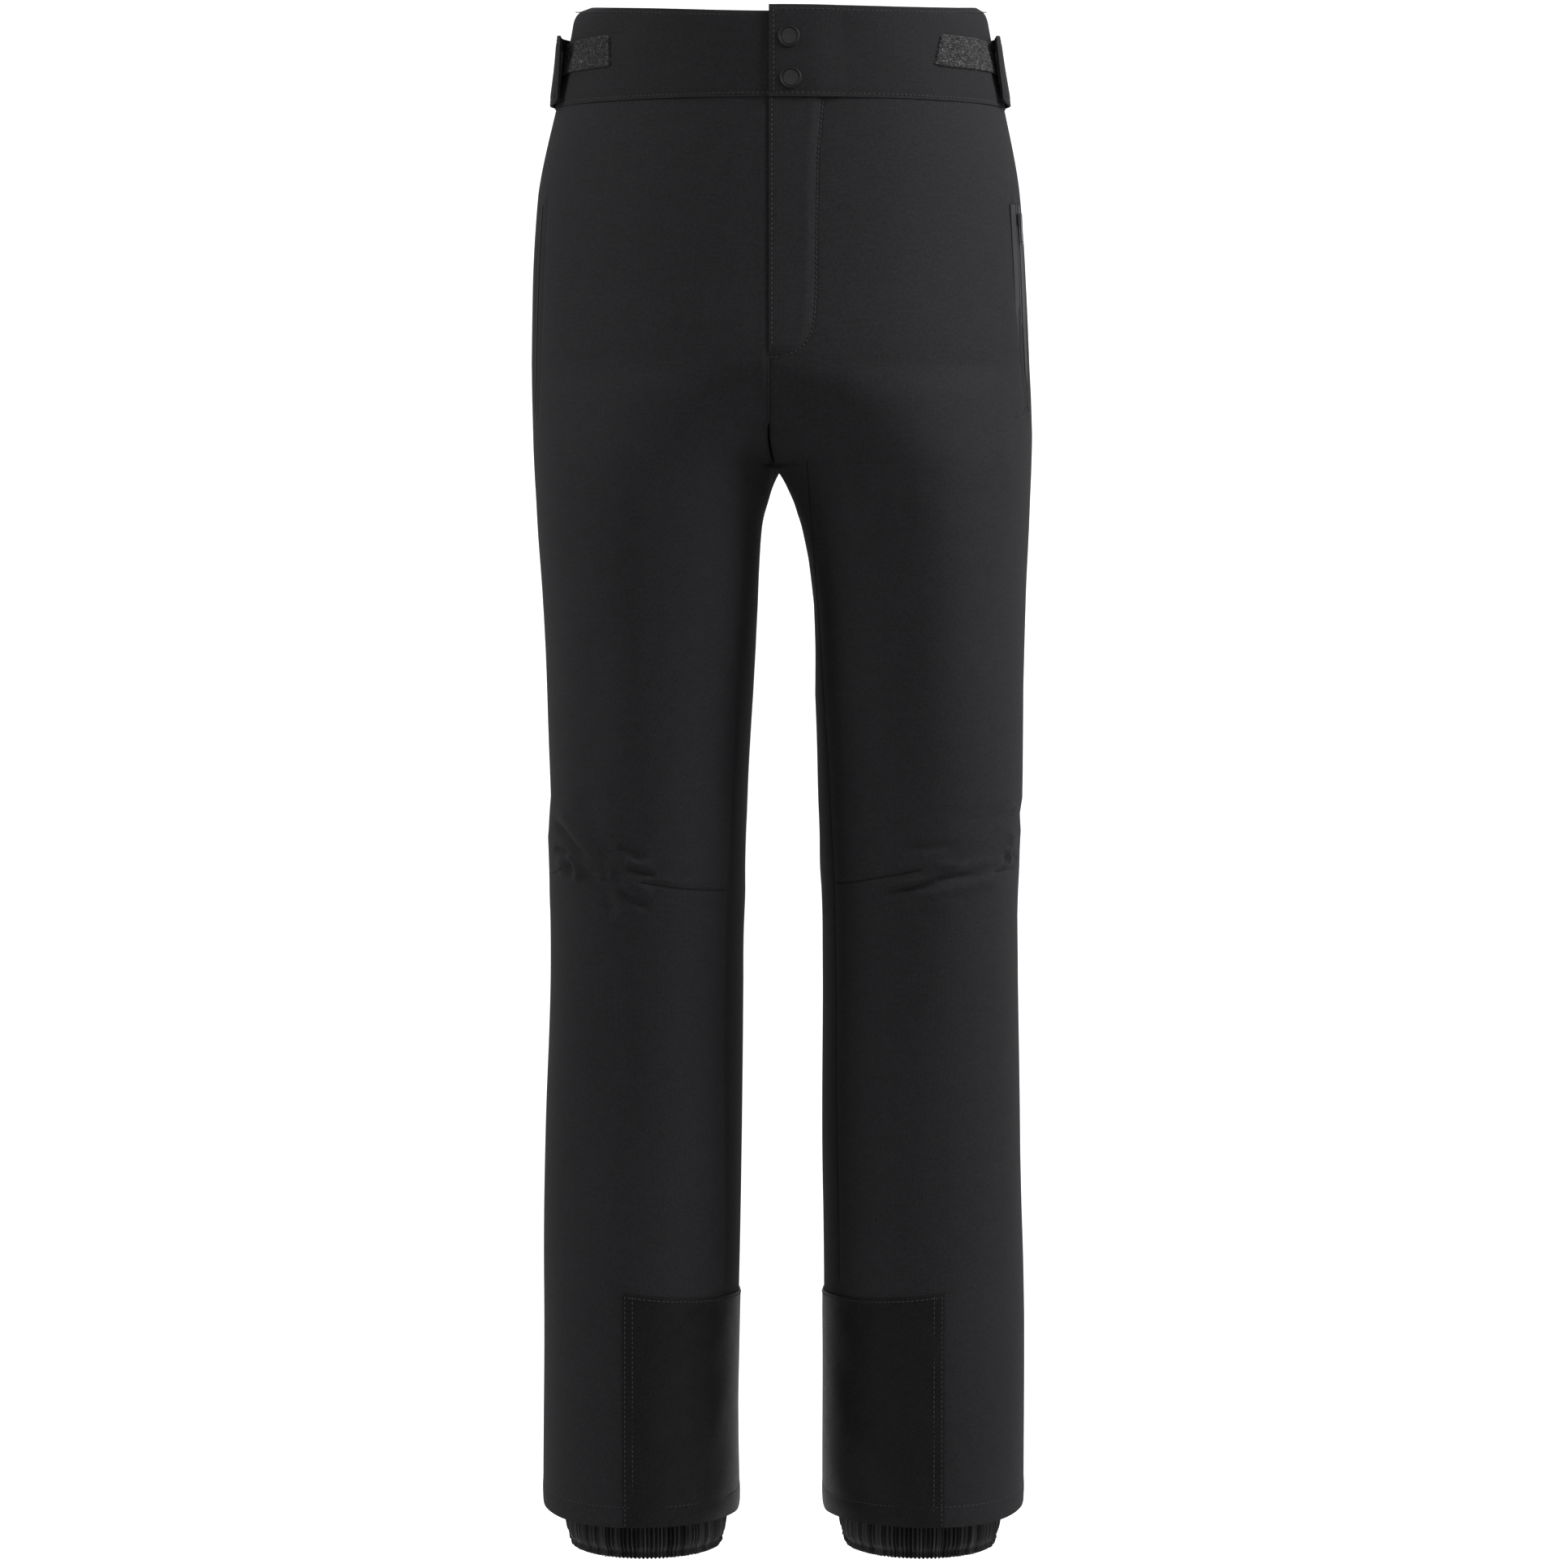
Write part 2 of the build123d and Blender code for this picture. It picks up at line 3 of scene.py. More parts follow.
import bpy
import numpy as np
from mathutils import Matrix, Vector


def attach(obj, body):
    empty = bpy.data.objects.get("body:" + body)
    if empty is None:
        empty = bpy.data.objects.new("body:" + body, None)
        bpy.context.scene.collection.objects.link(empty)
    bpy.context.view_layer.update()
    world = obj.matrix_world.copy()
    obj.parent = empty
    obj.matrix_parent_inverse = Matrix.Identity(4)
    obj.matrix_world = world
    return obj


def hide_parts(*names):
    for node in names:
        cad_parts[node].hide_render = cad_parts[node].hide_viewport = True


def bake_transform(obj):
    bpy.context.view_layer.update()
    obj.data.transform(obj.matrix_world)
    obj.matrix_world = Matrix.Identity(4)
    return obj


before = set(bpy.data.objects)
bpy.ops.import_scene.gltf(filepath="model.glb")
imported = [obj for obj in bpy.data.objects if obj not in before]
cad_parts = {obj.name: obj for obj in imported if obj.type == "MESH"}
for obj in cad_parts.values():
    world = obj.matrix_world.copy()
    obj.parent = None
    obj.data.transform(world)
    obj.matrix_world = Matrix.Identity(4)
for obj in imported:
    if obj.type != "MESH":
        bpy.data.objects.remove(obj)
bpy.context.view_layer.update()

MM = 0.001

# ---- Camera: level with the middle of the thighs, 3.8 m in front ----

CAMERA_X = 0.0005
CAMERA_Y = -3.8
CAMERA_Z = -0.375
AIM_Z = -0.548
LENS = 123.0


def in_scene(name, data):
    ob = bpy.data.objects.new(name, data)
    bpy.context.scene.collection.objects.link(ob)
    return ob


def camera():
    data = bpy.data.cameras.new("camera")
    data.lens = LENS
    data.sensor_width = 36.0
    ob = in_scene("camera", data)
    ob.location = (CAMERA_X, CAMERA_Y, CAMERA_Z)
    tilt = math.atan2(AIM_Z - CAMERA_Z, -CAMERA_Y)
    ob.rotation_euler = (math.pi / 2 + tilt, 0, 0)
    bpy.context.scene.camera = ob


camera()

# ---- The garment's surface, as in the CAD model, in millimetres ----

WAIST_SEAM = -71.0
SPLIT = -500.0  # upper and lower leg cloth meet here, in the stiff middle of the thigh
HEM = -1057.0
CROTCH = -324.0
GUARD_TOP = -900.0
WAIST_SLOPE = 0.09

# height, outer edge, inner edge, front, back of the left half
SECTIONS = np.array([
    (20.0, 143.0, -143.0, -102.5, 113.0),
    (-10.0, 147.0, -147.0, -105.0, 116.0),
    (-71.0, 160.5, -160.5, -110.1, 125.0),
    (-130.0, 170.5, -170.5, -115.0, 138.0),
    (-190.0, 174.5, -174.5, -120.0, 149.0),
    (-250.0, 176.0, -176.0, -125.0, 152.0),
    (-275.0, 176.3, -86.7, -118.5, 141.5),
    (-300.0, 176.2, -33.5, -114.8, 134.0),
    (-324.0, 175.5, 0.0, -113.6, 127.0),
    (-345.0, 174.5, 8.0, -113.0, 121.0),
    (-367.0, 173.5, 14.0, -111.8, 114.0),
    (-412.0, 171.0, 18.5, -109.5, 103.0),
    (-457.0, 169.5, 21.0, -107.0, 94.0),
    (-504.0, 168.5, 23.0, -104.0, 87.0),
    (-551.0, 167.5, 24.5, -101.0, 80.5),
    (-613.0, 166.0, 26.0, -98.0, 75.0),
    (-675.0, 165.5, 27.5, -94.0, 76.0),
    (-797.0, 168.0, 28.0, -89.0, 82.0),
    (-900.0, 170.0, 29.0, -88.0, 87.0),
    (-1057.0, 170.0, 30.0, -88.0, 92.0),
])

GAITER_SECTIONS = np.array([
    (-860.0, 167.4, 30.5, -86.3, 83.0),
    (-900.0, 164.0, 34.0, -83.0, 82.0),
    (-1000.0, 157.0, 40.0, -76.0, 78.0),
    (-1066.0, 153.0, 42.5, -71.0, 74.0),
    (-1082.0, 151.0, 44.0, -69.0, 72.0),
])


def hermite(table, z):
    """Smooth, monotone values of each column at heights z."""
    heights = -table[:, 0]
    values = table[:, 1:]
    steps = np.diff(heights)[:, None]
    slopes = np.diff(values, axis=0) / steps
    tangents = np.zeros_like(values)
    tangents[0], tangents[-1] = slopes[0], slopes[-1]
    same = slopes[:-1] * slopes[1:] > 0
    mean = 2 * slopes[:-1] * slopes[1:] / np.where(same, slopes[:-1] + slopes[1:], 1)
    tangents[1:-1] = np.where(same, mean, 0)
    at = np.clip(-np.asarray(z, float), heights[0], heights[-1])
    i = np.clip(np.searchsorted(heights, at, "right") - 1, 0, len(heights) - 2)
    h = steps[i, 0]
    t = ((at - heights[i]) / h)[..., None]
    h = h[..., None]
    return (
        values[i] * (2 * t**3 - 3 * t**2 + 1)
        + tangents[i] * h * (t**3 - 2 * t**2 + t)
        + values[i + 1] * (3 * t**2 - 2 * t**3)
        + tangents[i + 1] * h * (t**3 - t**2)
    )


def smooth(a, b, x):
    """0 before a, 1 after b, smooth between; a may be more than b."""
    t = np.clip((x - a) / (b - a), 0, 1)
    return t * t * (3 - 2 * t)


def bell(x, centre, width):
    """1 at the centre, falling off smoothly on both sides."""
    return np.exp(-((x - centre) / width) ** 2)


def running_length(points):
    """Distance run at each corner of a flat polyline."""
    return np.concatenate([[0], np.cumsum(np.hypot(*np.diff(points, axis=0).T))])


def grid_quads(index):
    """Faces between neighbouring points of a grid of vertex numbers."""
    return np.stack([index[:-1, :-1], index[:-1, 1:], index[1:, 1:], index[1:, :-1]], -1).reshape(-1, 4)


# How each side differs from the CAD's even halves: height, outward shift of the outer edge
OUTER_FIX = {
    -1: [(-71, 0), (-130, 3), (-190, 3.2), (-250, 2.9), (-300, 1.2), (-350, 0), (-412, -1),
         (-457, -1.7), (-520, -2.4), (-556, -3.0), (-585, 0.2), (-640, 0), (-850, 0.8), (-1057, 1.2)],
    1: [(-10, -3.2), (-71, -4.2), (-130, -3.0), (-190, -2.5), (-250, -1.5), (-300, 0), (-480, 0.8),
        (-540, 2.2), (-557, 2.4), (-568, 1.0), (-580, 2.0), (-610, 1.0), (-640, 0.3), (-850, 1.0),
        (-925, 1.8), (-1057, 1.5)],
}
# height, shift of the inner edge towards the leg
INNER_FIX = {
    -1: [(-324, 0), (-340, 1.5), (-357, 1.5), (-389, 0.3), (-420, -0.6), (-452, -0.8), (-484, -0.8),
         (-560, 0), (-700, 1.2), (-790, 1.7), (-925, 2.9), (-990, 2.9), (-1057, 1.5)],
    1: [(-324, 0), (-340, -1), (-357, -1), (-389, 1.5), (-420, 2.3), (-452, 1.2), (-484, -0.6),
        (-560, -0.3), (-620, 1.0), (-700, 0.6), (-850, 0), (-925, -1), (-1057, -0.5)],
}
FRONT_SEAM_SHIFT = 10.0  # the centre front seam lies this far to the wearer's right
HEM_DIP = 7.0  # the cloth hangs this much lower in front
HEM_RISE = 4.5  # and this much higher on the outer side
HEM_SEWN = 14  # the hem's stitching lies this far above its edge


def at_height(table, z):
    """Value at height z in a table of (height, value)."""
    table = np.array(table, float)
    return np.interp(-z, -table[:, 0], table[:, 1])


def ellipse(table, z, side=1):
    """Centre and half axes of the section at height z."""
    outer, inner, front, back = np.moveaxis(hermite(table, z), -1, 0)
    if table is SECTIONS:
        outer = outer + at_height(OUTER_FIX[side], z)
        inner = np.where(z > WAIST_SEAM - 180, -outer, inner + at_height(INNER_FIX[side], z))
    return (outer + inner) / 2, (outer - inner) / 2, (front + back) / 2, (back - front) / 2


def widest(table, z, side=1):
    """Angle from the outer side at which the half section ends."""
    cx, a, _, _ = ellipse(table, z, side)
    return np.arccos(np.clip(-cx / a, -1, 1))


def seam_shift(x, z, front):
    """Sideways shift of the cloth near the centre front; x is signed before the shift."""
    return FRONT_SEAM_SHIFT * bell(x, 0, 45.0) * front * smooth(-352, -300, z)


FLAT_FROM = (-250, -290)  # the flattening grows between these heights
FLAT_THIGH = (0.45, -560, -360)  # how much above the knee, and the heights over which it goes
FLAT_KNEE = (0.10, -760, -560)
FLAT_ANGLES = (-1.45, -1.75)


def fullness(z, theta):
    """Power that flattens the front of each leg towards its inner edge, most of all just under the fly."""
    share = sum(by * smooth(low, high, z) for by, low, high in (FLAT_THIGH, FLAT_KNEE))
    deepest = smooth(*FLAT_FROM, z) * share
    return 1.0 - deepest * smooth(*FLAT_ANGLES, theta)


def surface(side, z, theta, offset=0.0, table=SECTIONS, relief=True):
    """Points of the cloth. theta 0 is the outer side, negative towards the front. side is 1 or -1."""
    z, theta = np.broadcast_arrays(np.asarray(z, float), np.asarray(theta, float))
    cx, a, cy, b = ellipse(table, z, side)
    sine = np.sin(theta)
    power = fullness(z, theta) if table is SECTIONS else np.ones_like(theta)
    deep = np.sign(sine) * np.abs(sine) ** power
    turn = power * np.clip(np.abs(sine), 0.02, 1) ** (power - 1)
    nx, ny = turn * np.cos(theta) / a, sine / b
    length = np.hypot(nx, ny)
    nx, ny = nx / length, ny / length
    x = cx + a * np.cos(theta)
    y = cy + b * deep
    if relief:
        offset = offset + folds(side, x, y, z, theta)
    x, y = x + nx * offset, y + ny * offset
    x = x * side
    front = smooth(12, -25, y - cy)
    if table is SECTIONS:
        x = x - seam_shift(x, z, front)
    rise = HEM_RISE * bell(theta, 0, 0.55) * (table is SECTIONS)
    z = z + (rise - HEM_DIP * front) * smooth(-960, -1057, z)
    return np.stack([x, y, z], -1)


def angle_at_x(side, z, x, table=SECTIONS, front=True):
    """theta at which the surface passes signed x, on the front or back. Runs on past the middle."""
    z = np.asarray(z, float)
    cx, a, cy, _ = ellipse(table, z, side)
    x = np.asarray(x, float)
    plain = x
    if table is SECTIONS and front:
        for _ in range(12):
            plain = x + seam_shift(plain, z, 1.0)
    angle = np.arccos(np.clip((plain * side - cx) / a, -1, 1))
    return -angle if front else angle


# ---- Folds, seams and darts: each adds to the cloth's height over the plain surface ----

def along(points, x, z):
    """Distance to a polyline in the front view, signed side, and place along it from 0 to 1."""
    points = np.array(points, float)
    spans = np.hypot(*np.diff(points, axis=0).T)
    total = spans.sum()
    best = np.full(x.shape, 1e9)
    place = np.zeros(x.shape)
    sign = np.zeros(x.shape)
    start = 0.0
    for (x0, z0), (x1, z1), span in zip(points[:-1], points[1:], spans):
        ux, uz = (x1 - x0) / span, (z1 - z0) / span
        t = np.clip((x - x0) * ux + (z - z0) * uz, 0, span)
        dx, dz = x - x0 - ux * t, z - z0 - uz * t
        d = np.hypot(dx, dz)
        closer = d < best
        best = np.where(closer, d, best)
        place = np.where(closer, (start + t) / total, place)
        sign = np.where(closer, np.sign(ux * dz - uz * dx), sign)
        start += span
    return best, sign, place


def ridge(points, height, width, x, z, taper=0.25):
    """A rounded fold that fades out at both ends. A negative height is a crease."""
    d, _, s = along(points, x, z)
    ends = smooth(0, taper, s) * smooth(1, 1 - taper, s)
    return height * bell(d, 0, width) * ends


# Folds at each knee, thigh and hip: points (x, z) in the front view, height, width
RIGHT_FOLDS = [  # wearer's right, negative x
    ([(-163, -570), (-159, -573), (-151, -581.5), (-143.5, -590), (-134.5, -598)], -2.6, 2.6),
    ([(-158, -556), (-152, -567), (-140, -581.5), (-129, -593), (-120, -603)], 2.6, 6.6),
    ([(-123, -597), (-119, -602), (-118.5, -607), (-121, -611)], 1.3, 2.0),
    ([(-140, -545), (-137, -562), (-127, -585), (-116, -600)], -2.0, 8.0),
    ([(-117, -587), (-104, -591.5), (-95, -599.5)], -2.0, 3.2),
    ([(-110, -602), (-100, -604.5), (-87.5, -607.5)], -1.8, 1.9),
    ([(-111, -596), (-101, -598), (-88, -602)], 1.1, 3.4),
    ([(-116, -616), (-106.5, -623), (-92, -630)], -2.2, 2.4),
    ([(-112, -609), (-102, -614), (-90, -621)], 1.2, 4.6),
    ([(-141, -601), (-133.5, -611.5), (-123, -621), (-117, -640)], -2.2, 4.6),
    ([(-138, -600.5), (-129, -606), (-123, -610)], 1.2, 2.0),
    ([(-151, -592), (-144.5, -600), (-142.5, -607.5), (-146, -614)], 2.2, 2.2),
    ([(-162, -590.5), (-157, -591.5), (-150, -593.5)], -2.2, 2.0),
    ([(-149, -599), (-148.5, -604), (-149.5, -610)], -1.5, 2.6),
    ([(-158, -596), (-154, -601), (-156, -610)], 1.4, 3.6),
    ([(-150, -628), (-134, -640), (-112, -650)], 0.7, 9.0),
    ([(-122, -640), (-120, -700), (-122, -780)], -1.0, 13.0),
    ([(-128, -420), (-130, -480), (-128, -550)], -1.1, 13.0),
]
LEFT_FOLDS = [  # wearer's left, positive x
    ([(165, -552), (162.5, -557), (153, -568), (144, -576), (135, -584), (124, -595), (111, -606)],
     2.1, 2.1),
    ([(156, -572), (146, -579), (137.5, -588), (128.5, -597), (118, -604)], -1.8, 4.4),
    ([(163, -561), (160, -564.5), (152, -575)], -1.5, 2.8),
    ([(62, -621), (69, -620), (81.5, -617), (95, -614), (106, -610), (121.5, -608), (139, -606.5)],
     -2.3, 2.3),
    ([(144, -606.5), (152, -606), (164, -604)], -1.5, 1.5),
    ([(66, -615), (86, -612.5), (103, -609.5), (113, -605.5)], 1.1, 2.0),
    ([(100, -601), (124, -600), (150, -598), (163, -597)], 1.2, 3.4),
    ([(88, -624), (112, -618), (138, -613), (160, -612)], 1.3, 3.8),
    ([(134, -614), (141, -610), (147, -605)], 0.9, 1.4),
    ([(152, -589), (158, -592), (158, -600), (152, -604)], 1.7, 2.0),
    ([(154.5, -594), (155, -598), (154.5, -602)], -1.5, 1.9),
    ([(157, -578), (161, -584), (158, -590)], 1.5, 3.2),
    ([(78, -588), (100, -588), (122, -586)], -0.8, 3.4),
    ([(66, -634), (94, -629), (126, -624)], 0.7, 5.0),
    ([(157, -296), (155, -312), (157, -334)], 0.45, 4.0),
    ([(164, -294), (163, -302), (161, -310)], -0.4, 3.0),
]
FOLD_HEIGHT = 1.15
DARTS = {
    -1: [[(-39, -619), (-56, -618), (-73, -616), (-101, -611.5)],
         [(-166, -610), (-161, -608), (-152, -602.8)]],
    1: [[(36, -615), (50, -612.5), (64.5, -609.3), (97, -602.8)],
        [(165, -599), (162.6, -596), (158.6, -591.5)]],
}
POCKET_LINES = {
    1: [[(160, -290), (167, -288), (174, -276)], [(171, -226), (172, -250), (173, -270)]],
    -1: [],
}


INSEAM = {  # height, x of the inseam on the front of each leg
    -1: [(-360, 27), (-542, 35.3), (-619, 38.7), (-652, 39.8), (-899, 42), (-1057, 43)],
    1: [(-312, 15.5), (-360, 20.2), (-532, 31.4), (-615, 34.8), (-700, 37), (-899, 39.2), (-1057, 40)],
}
POCKET_Y = -21.0
POCKET_HALF = 0.7
POCKET_Z = (-285.0, -140.0)


def pocket_lips(x, y, z):
    """Turned edges on both sides of the pocket's opening."""
    beside = np.abs(y - POCKET_Y) - POCKET_HALF
    ends = smooth(POCKET_Z[0] - 9, POCKET_Z[0] - 2, z) * smooth(POCKET_Z[1] + 9, POCKET_Z[1] + 2, z)
    groove = -0.5 * bell(beside, 7.5, 1.0)
    return ends * (x > 60) * (0.35 * bell(beside, 0, 4.0) + groove)


def folds(side, x, y, z, theta):
    """Height of the folds, seams and darts over the plain surface, in mm."""
    sx = x * side
    _, _, cy, _ = ellipse(SECTIONS, z, side)
    front = smooth(8, -14, y - cy)
    height = np.zeros(x.shape)
    knee = bell(z, -605, 150.0)
    for points, tall, wide in RIGHT_FOLDS if side < 0 else LEFT_FOLDS:
        height += front * ridge(points, FOLD_HEIGHT * tall, wide, sx, z)
    for line in DARTS[side]:
        height += front * ridge(line, -0.5, 1.6, sx, z, taper=0.06)
        height += front * ridge([(px, pz + 3.6) for px, pz in line], 0.5, 2.6, sx, z, taper=0.2)
    for line in POCKET_LINES[side]:
        height += front * ridge(line, -0.8, 1.3, sx, z, taper=0.1)
    # behind the knee the cloth lies in a few level folds
    back = smooth(-10, 25, y - cy)
    behind = np.sin((z + 600) / 11.0 + 1.3 * np.sin(theta * 2 + side) + side)
    height += back * knee * behind * bell(z, -610, 60.0)
    # slow waves down the whole leg
    phase = 0.8 if side > 0 else 2.1
    slow = (
        np.sin(z / 61 + 2.0 * theta + phase)
        + 0.7 * np.sin(z / 37 - 3.0 * theta + 2 * phase)
        + 0.5 * np.sin(z / 97 + 5.0 * theta)
    )
    loose = smooth(-120, -420, z)
    height += 0.45 * loose * slow
    # side seam: a shallow valley with a raised allowance behind it
    arc = theta * 95.0
    height += -0.55 * bell(arc, 2, 1.1) + 0.3 * bell(arc, 6, 3.5)
    # inseam, forward of the leg's inner edge
    from_inseam = x - at_height(INSEAM[side], z)
    leg = smooth(CROTCH - 30, CROTCH - 90, z) * smooth(GUARD_TOP - 4, GUARD_TOP + 8, z)
    height += leg * front * (-0.35 * bell(from_inseam, 0, 1.6) + 0.15 * bell(from_inseam, 4.5, 2.8))
    # centre seams, front and back
    centre = smooth(CROTCH - 6, CROTCH + 6, z)
    height += centre * (-0.9 * bell(x, 0, 1.4) + 0.5 * bell(x, 4.5, 3.0) * (side < 0))
    height += pocket_lips(x, y, z)
    # pucker above the hem's stitching
    hem = z - HEM
    height += -0.35 * bell(hem, HEM_SEWN, 1.6) + 0.25 * bell(hem, 7, 5)
    return height


# ---- Mesh helpers ----

SHARP_EDGE = 55  # degrees


def new_object(name, verts, faces, uvs=None):
    """A mesh object from points in mm, with uv coordinates in metres given per vertex."""
    mesh = bpy.data.meshes.new(name)
    mesh.from_pydata((np.asarray(verts, float) * MM).tolist(), [], faces)
    if uvs is not None:
        layer = mesh.uv_layers.new(name="cloth")
        corner = np.empty(len(mesh.loops), dtype=np.int32)
        mesh.loops.foreach_get("vertex_index", corner)
        layer.data.foreach_set("uv", (np.asarray(uvs)[corner] * MM).ravel())
    mesh.polygons.foreach_set("use_smooth", [True] * len(mesh.polygons))
    mesh.set_sharp_from_angle(angle=math.radians(SHARP_EDGE))
    mesh.update()
    return in_scene(name, mesh)


def cloth(name, outer, inner, uv, closed_rows=None, drop=None):
    """Cloth with thickness from two grids of points. closed_rows says which rows join end to end,
    drop which cells are left out."""
    rows, cols = outer.shape[:2]
    index = np.arange(rows * cols).reshape(rows, cols)
    if closed_rows is not None:
        index[closed_rows, -1] = index[closed_rows, 0]
    quads = grid_quads(index)
    if drop is not None:
        quads = quads[~drop.ravel()]
    count = rows * cols
    faces = [tuple(dict.fromkeys(q)) for q in quads.tolist()]
    edges = {}
    for face in faces:
        for a, b in zip(face, face[1:] + face[:1]):
            if (b, a) in edges:
                del edges[(b, a)]
            else:
                edges[(a, b)] = True
    back = [tuple(v + count for v in reversed(face)) for face in faces]
    rims = [(b, a, a + count, b + count) for a, b in edges]
    verts = np.concatenate([outer.reshape(-1, 3), inner.reshape(-1, 3)])
    uvs = np.concatenate([uv.reshape(-1, 2)] * 2)
    used = np.unique(np.concatenate([np.array(f) for f in (quads.ravel(), quads.ravel() + count)]))
    remap = np.full(len(verts), -1)
    remap[used] = np.arange(len(used))
    faces = [tuple(remap[list(face)]) for face in faces + back + rims]
    faces = [tuple(int(v) for v in face) for face in faces if len(face) > 2]
    return new_object(name, verts[used], faces, uvs[used])


def cloth_uv(side, z, theta):
    """Lengths round the leg and up it, for the weave."""
    _, a, _, b = ellipse(SECTIONS, z, side)
    return np.stack([theta * (a + b) / 2 * side, z], -1)


def orient(grids, side):
    """Reverse the columns on one side, so that faces look outwards on both."""
    return [g[:, ::-1] if side > 0 else g for g in grids]


STITCH = 2.3  # length
STITCH_GAP = 1.1
STITCH_RADIUS = 0.38


def resample(points, spacing):
    """Even places along a path, with the direction there."""
    points = np.asarray(points, float)
    spans = np.linalg.norm(np.diff(points, axis=0), axis=1)
    at = np.concatenate([[0], np.cumsum(spans)])
    count = max(2, int(at[-1] / spacing))
    places = (np.arange(count) + 0.5) * at[-1] / count
    middle, ahead, behind = (
        np.stack([np.interp(places + step, at, points[:, k]) for k in range(3)], -1)
        for step in (0, 0.4, -0.4)
    )
    direction = ahead - behind
    return middle, direction / np.linalg.norm(direction, axis=1)[:, None]


STITCH_PROFILE = np.array([(-0.5, 0.15), (-0.32, 0.85), (0.0, 1.0), (0.32, 0.85), (0.5, 0.15)])
STITCH_SIDES = 6


def stitches(name, paths, centre):
    """Rows of single stitches along paths, each a small spindle with its thread ends sunk in."""
    spacing = STITCH + STITCH_GAP
    middles, directions = map(np.concatenate, zip(*(resample(path, spacing) for path in paths)))
    out = middles - np.array(centre)
    out[:, 2] = 0
    out -= directions * (out * directions).sum(1)[:, None]
    out /= np.linalg.norm(out, axis=1)[:, None]
    across = np.cross(directions, out)
    turn = 2 * math.pi * np.arange(STITCH_SIDES) / STITCH_SIDES
    place, fat = STITCH_PROFILE.T
    sink = -0.7 * STITCH_RADIUS * (2 * place) ** 4
    ring = (middles[:, None] + directions[:, None] * (place * STITCH)[None, :, None]
            + out[:, None] * sink[None, :, None])
    spoke = across[:, None] * np.cos(turn)[None, :, None] + out[:, None] * np.sin(turn)[None, :, None] * 0.8
    verts = ring[:, :, None] + spoke[:, None] * (STITCH_RADIUS * fat)[None, :, None, None]
    n = STITCH_SIDES
    rings = len(STITCH_PROFILE)
    one = [(i * n + k, i * n + (k + 1) % n, (i + 1) * n + (k + 1) % n, (i + 1) * n + k)
           for i in range(rings - 1) for k in range(n)]
    base = (np.arange(len(middles)) * n * rings)[:, None, None]
    quads = (np.array(one)[None] + base).reshape(-1, 4)
    ends = [tuple(range(n))[::-1], tuple(range((rings - 1) * n, rings * n))]
    caps = (np.array(ends)[None] + base).reshape(-1, n)
    return new_object(name, verts.reshape(-1, 3), quads.tolist() + caps.tolist())


TORSO_CENTRE = (0.0, 10.0, 0.0)


def leg_centre(side):
    return (side * 98.0, 0.0, 0.0)


# ---- Materials ----

class Nodes:
    """Short hand for building one material's node tree."""

    def __init__(self, name):
        self.material = bpy.data.materials.new(name)
        self.material.use_nodes = True
        self.tree = self.material.node_tree
        self.shader = self.tree.nodes["Principled BSDF"]

    def add(self, kind, **values):
        node = self.tree.nodes.new(kind)
        for key, value in values.items():
            if key.startswith("in_"):
                name = key[3:]
                node.inputs[int(name) if name.isdigit() else name.replace("_", " ")].default_value = value
            else:
                setattr(node, key, value)
        return node

    def join(self, out, into):
        self.tree.links.new(out, into)

    def coordinates(self, kind):
        node = self.add("ShaderNodeTexCoord")
        return node.outputs[kind]

    def noise(self, where, scale, detail=2.0, roughness=0.5):
        node = self.add("ShaderNodeTexNoise", in_Scale=scale, in_Detail=detail, in_Roughness=roughness)
        self.join(where, node.inputs["Vector"])
        return node.outputs["Fac"]

    def wave(self, where, scale, direction, distortion):
        node = self.add("ShaderNodeTexWave", bands_direction=direction, in_Scale=scale,
                        in_Distortion=distortion)
        node.inputs["Detail"].default_value = 1.0
        self.join(where, node.inputs["Vector"])
        return node.outputs["Fac"]

    def maths(self, operation, a, b):
        node = self.add("ShaderNodeMath", operation=operation)
        for socket, value in zip(node.inputs, (a, b)):
            if isinstance(value, (int, float)):
                socket.default_value = value
            else:
                self.join(value, socket)
        return node.outputs[0]

    def weigh(self, *pairs):
        """Sum of values, each times its weight."""
        total = None
        for value, weight in pairs:
            part = self.maths("MULTIPLY", value, weight)
            total = part if total is None else self.maths("ADD", total, part)
        return total

    def set(self, **values):
        """Values of the shader's inputs, their names with _ for spaces."""
        for key, value in values.items():
            self.shader.inputs[key.replace("_", " ")].default_value = value

    def feed(self, out, name):
        self.join(out, self.shader.inputs[name])

    def ramp(self, fac, stops):
        node = self.add("ShaderNodeValToRGB")
        elements = node.color_ramp.elements
        while len(elements) < len(stops):
            elements.new(0.5)
        for element, (place, colour) in zip(elements, stops):
            element.position = place
            element.color = (*colour, 1)
        self.join(fac, node.inputs[0])
        return node.outputs[0]

    def spread(self, fac, low, high):
        node = self.add("ShaderNodeMapRange", in_3=low, in_4=high)
        self.join(fac, node.inputs[0])
        return node.outputs[0]

    def bump(self, height, strength, distance):
        node = self.add("ShaderNodeBump", in_Strength=strength, in_Distance=distance)
        self.join(height, node.inputs["Height"])
        return node.outputs[0]


def scaled(colour, by):
    return tuple(c * by for c in colour)


SLUB = 0.25  # unevenness of a plain weave's yarns


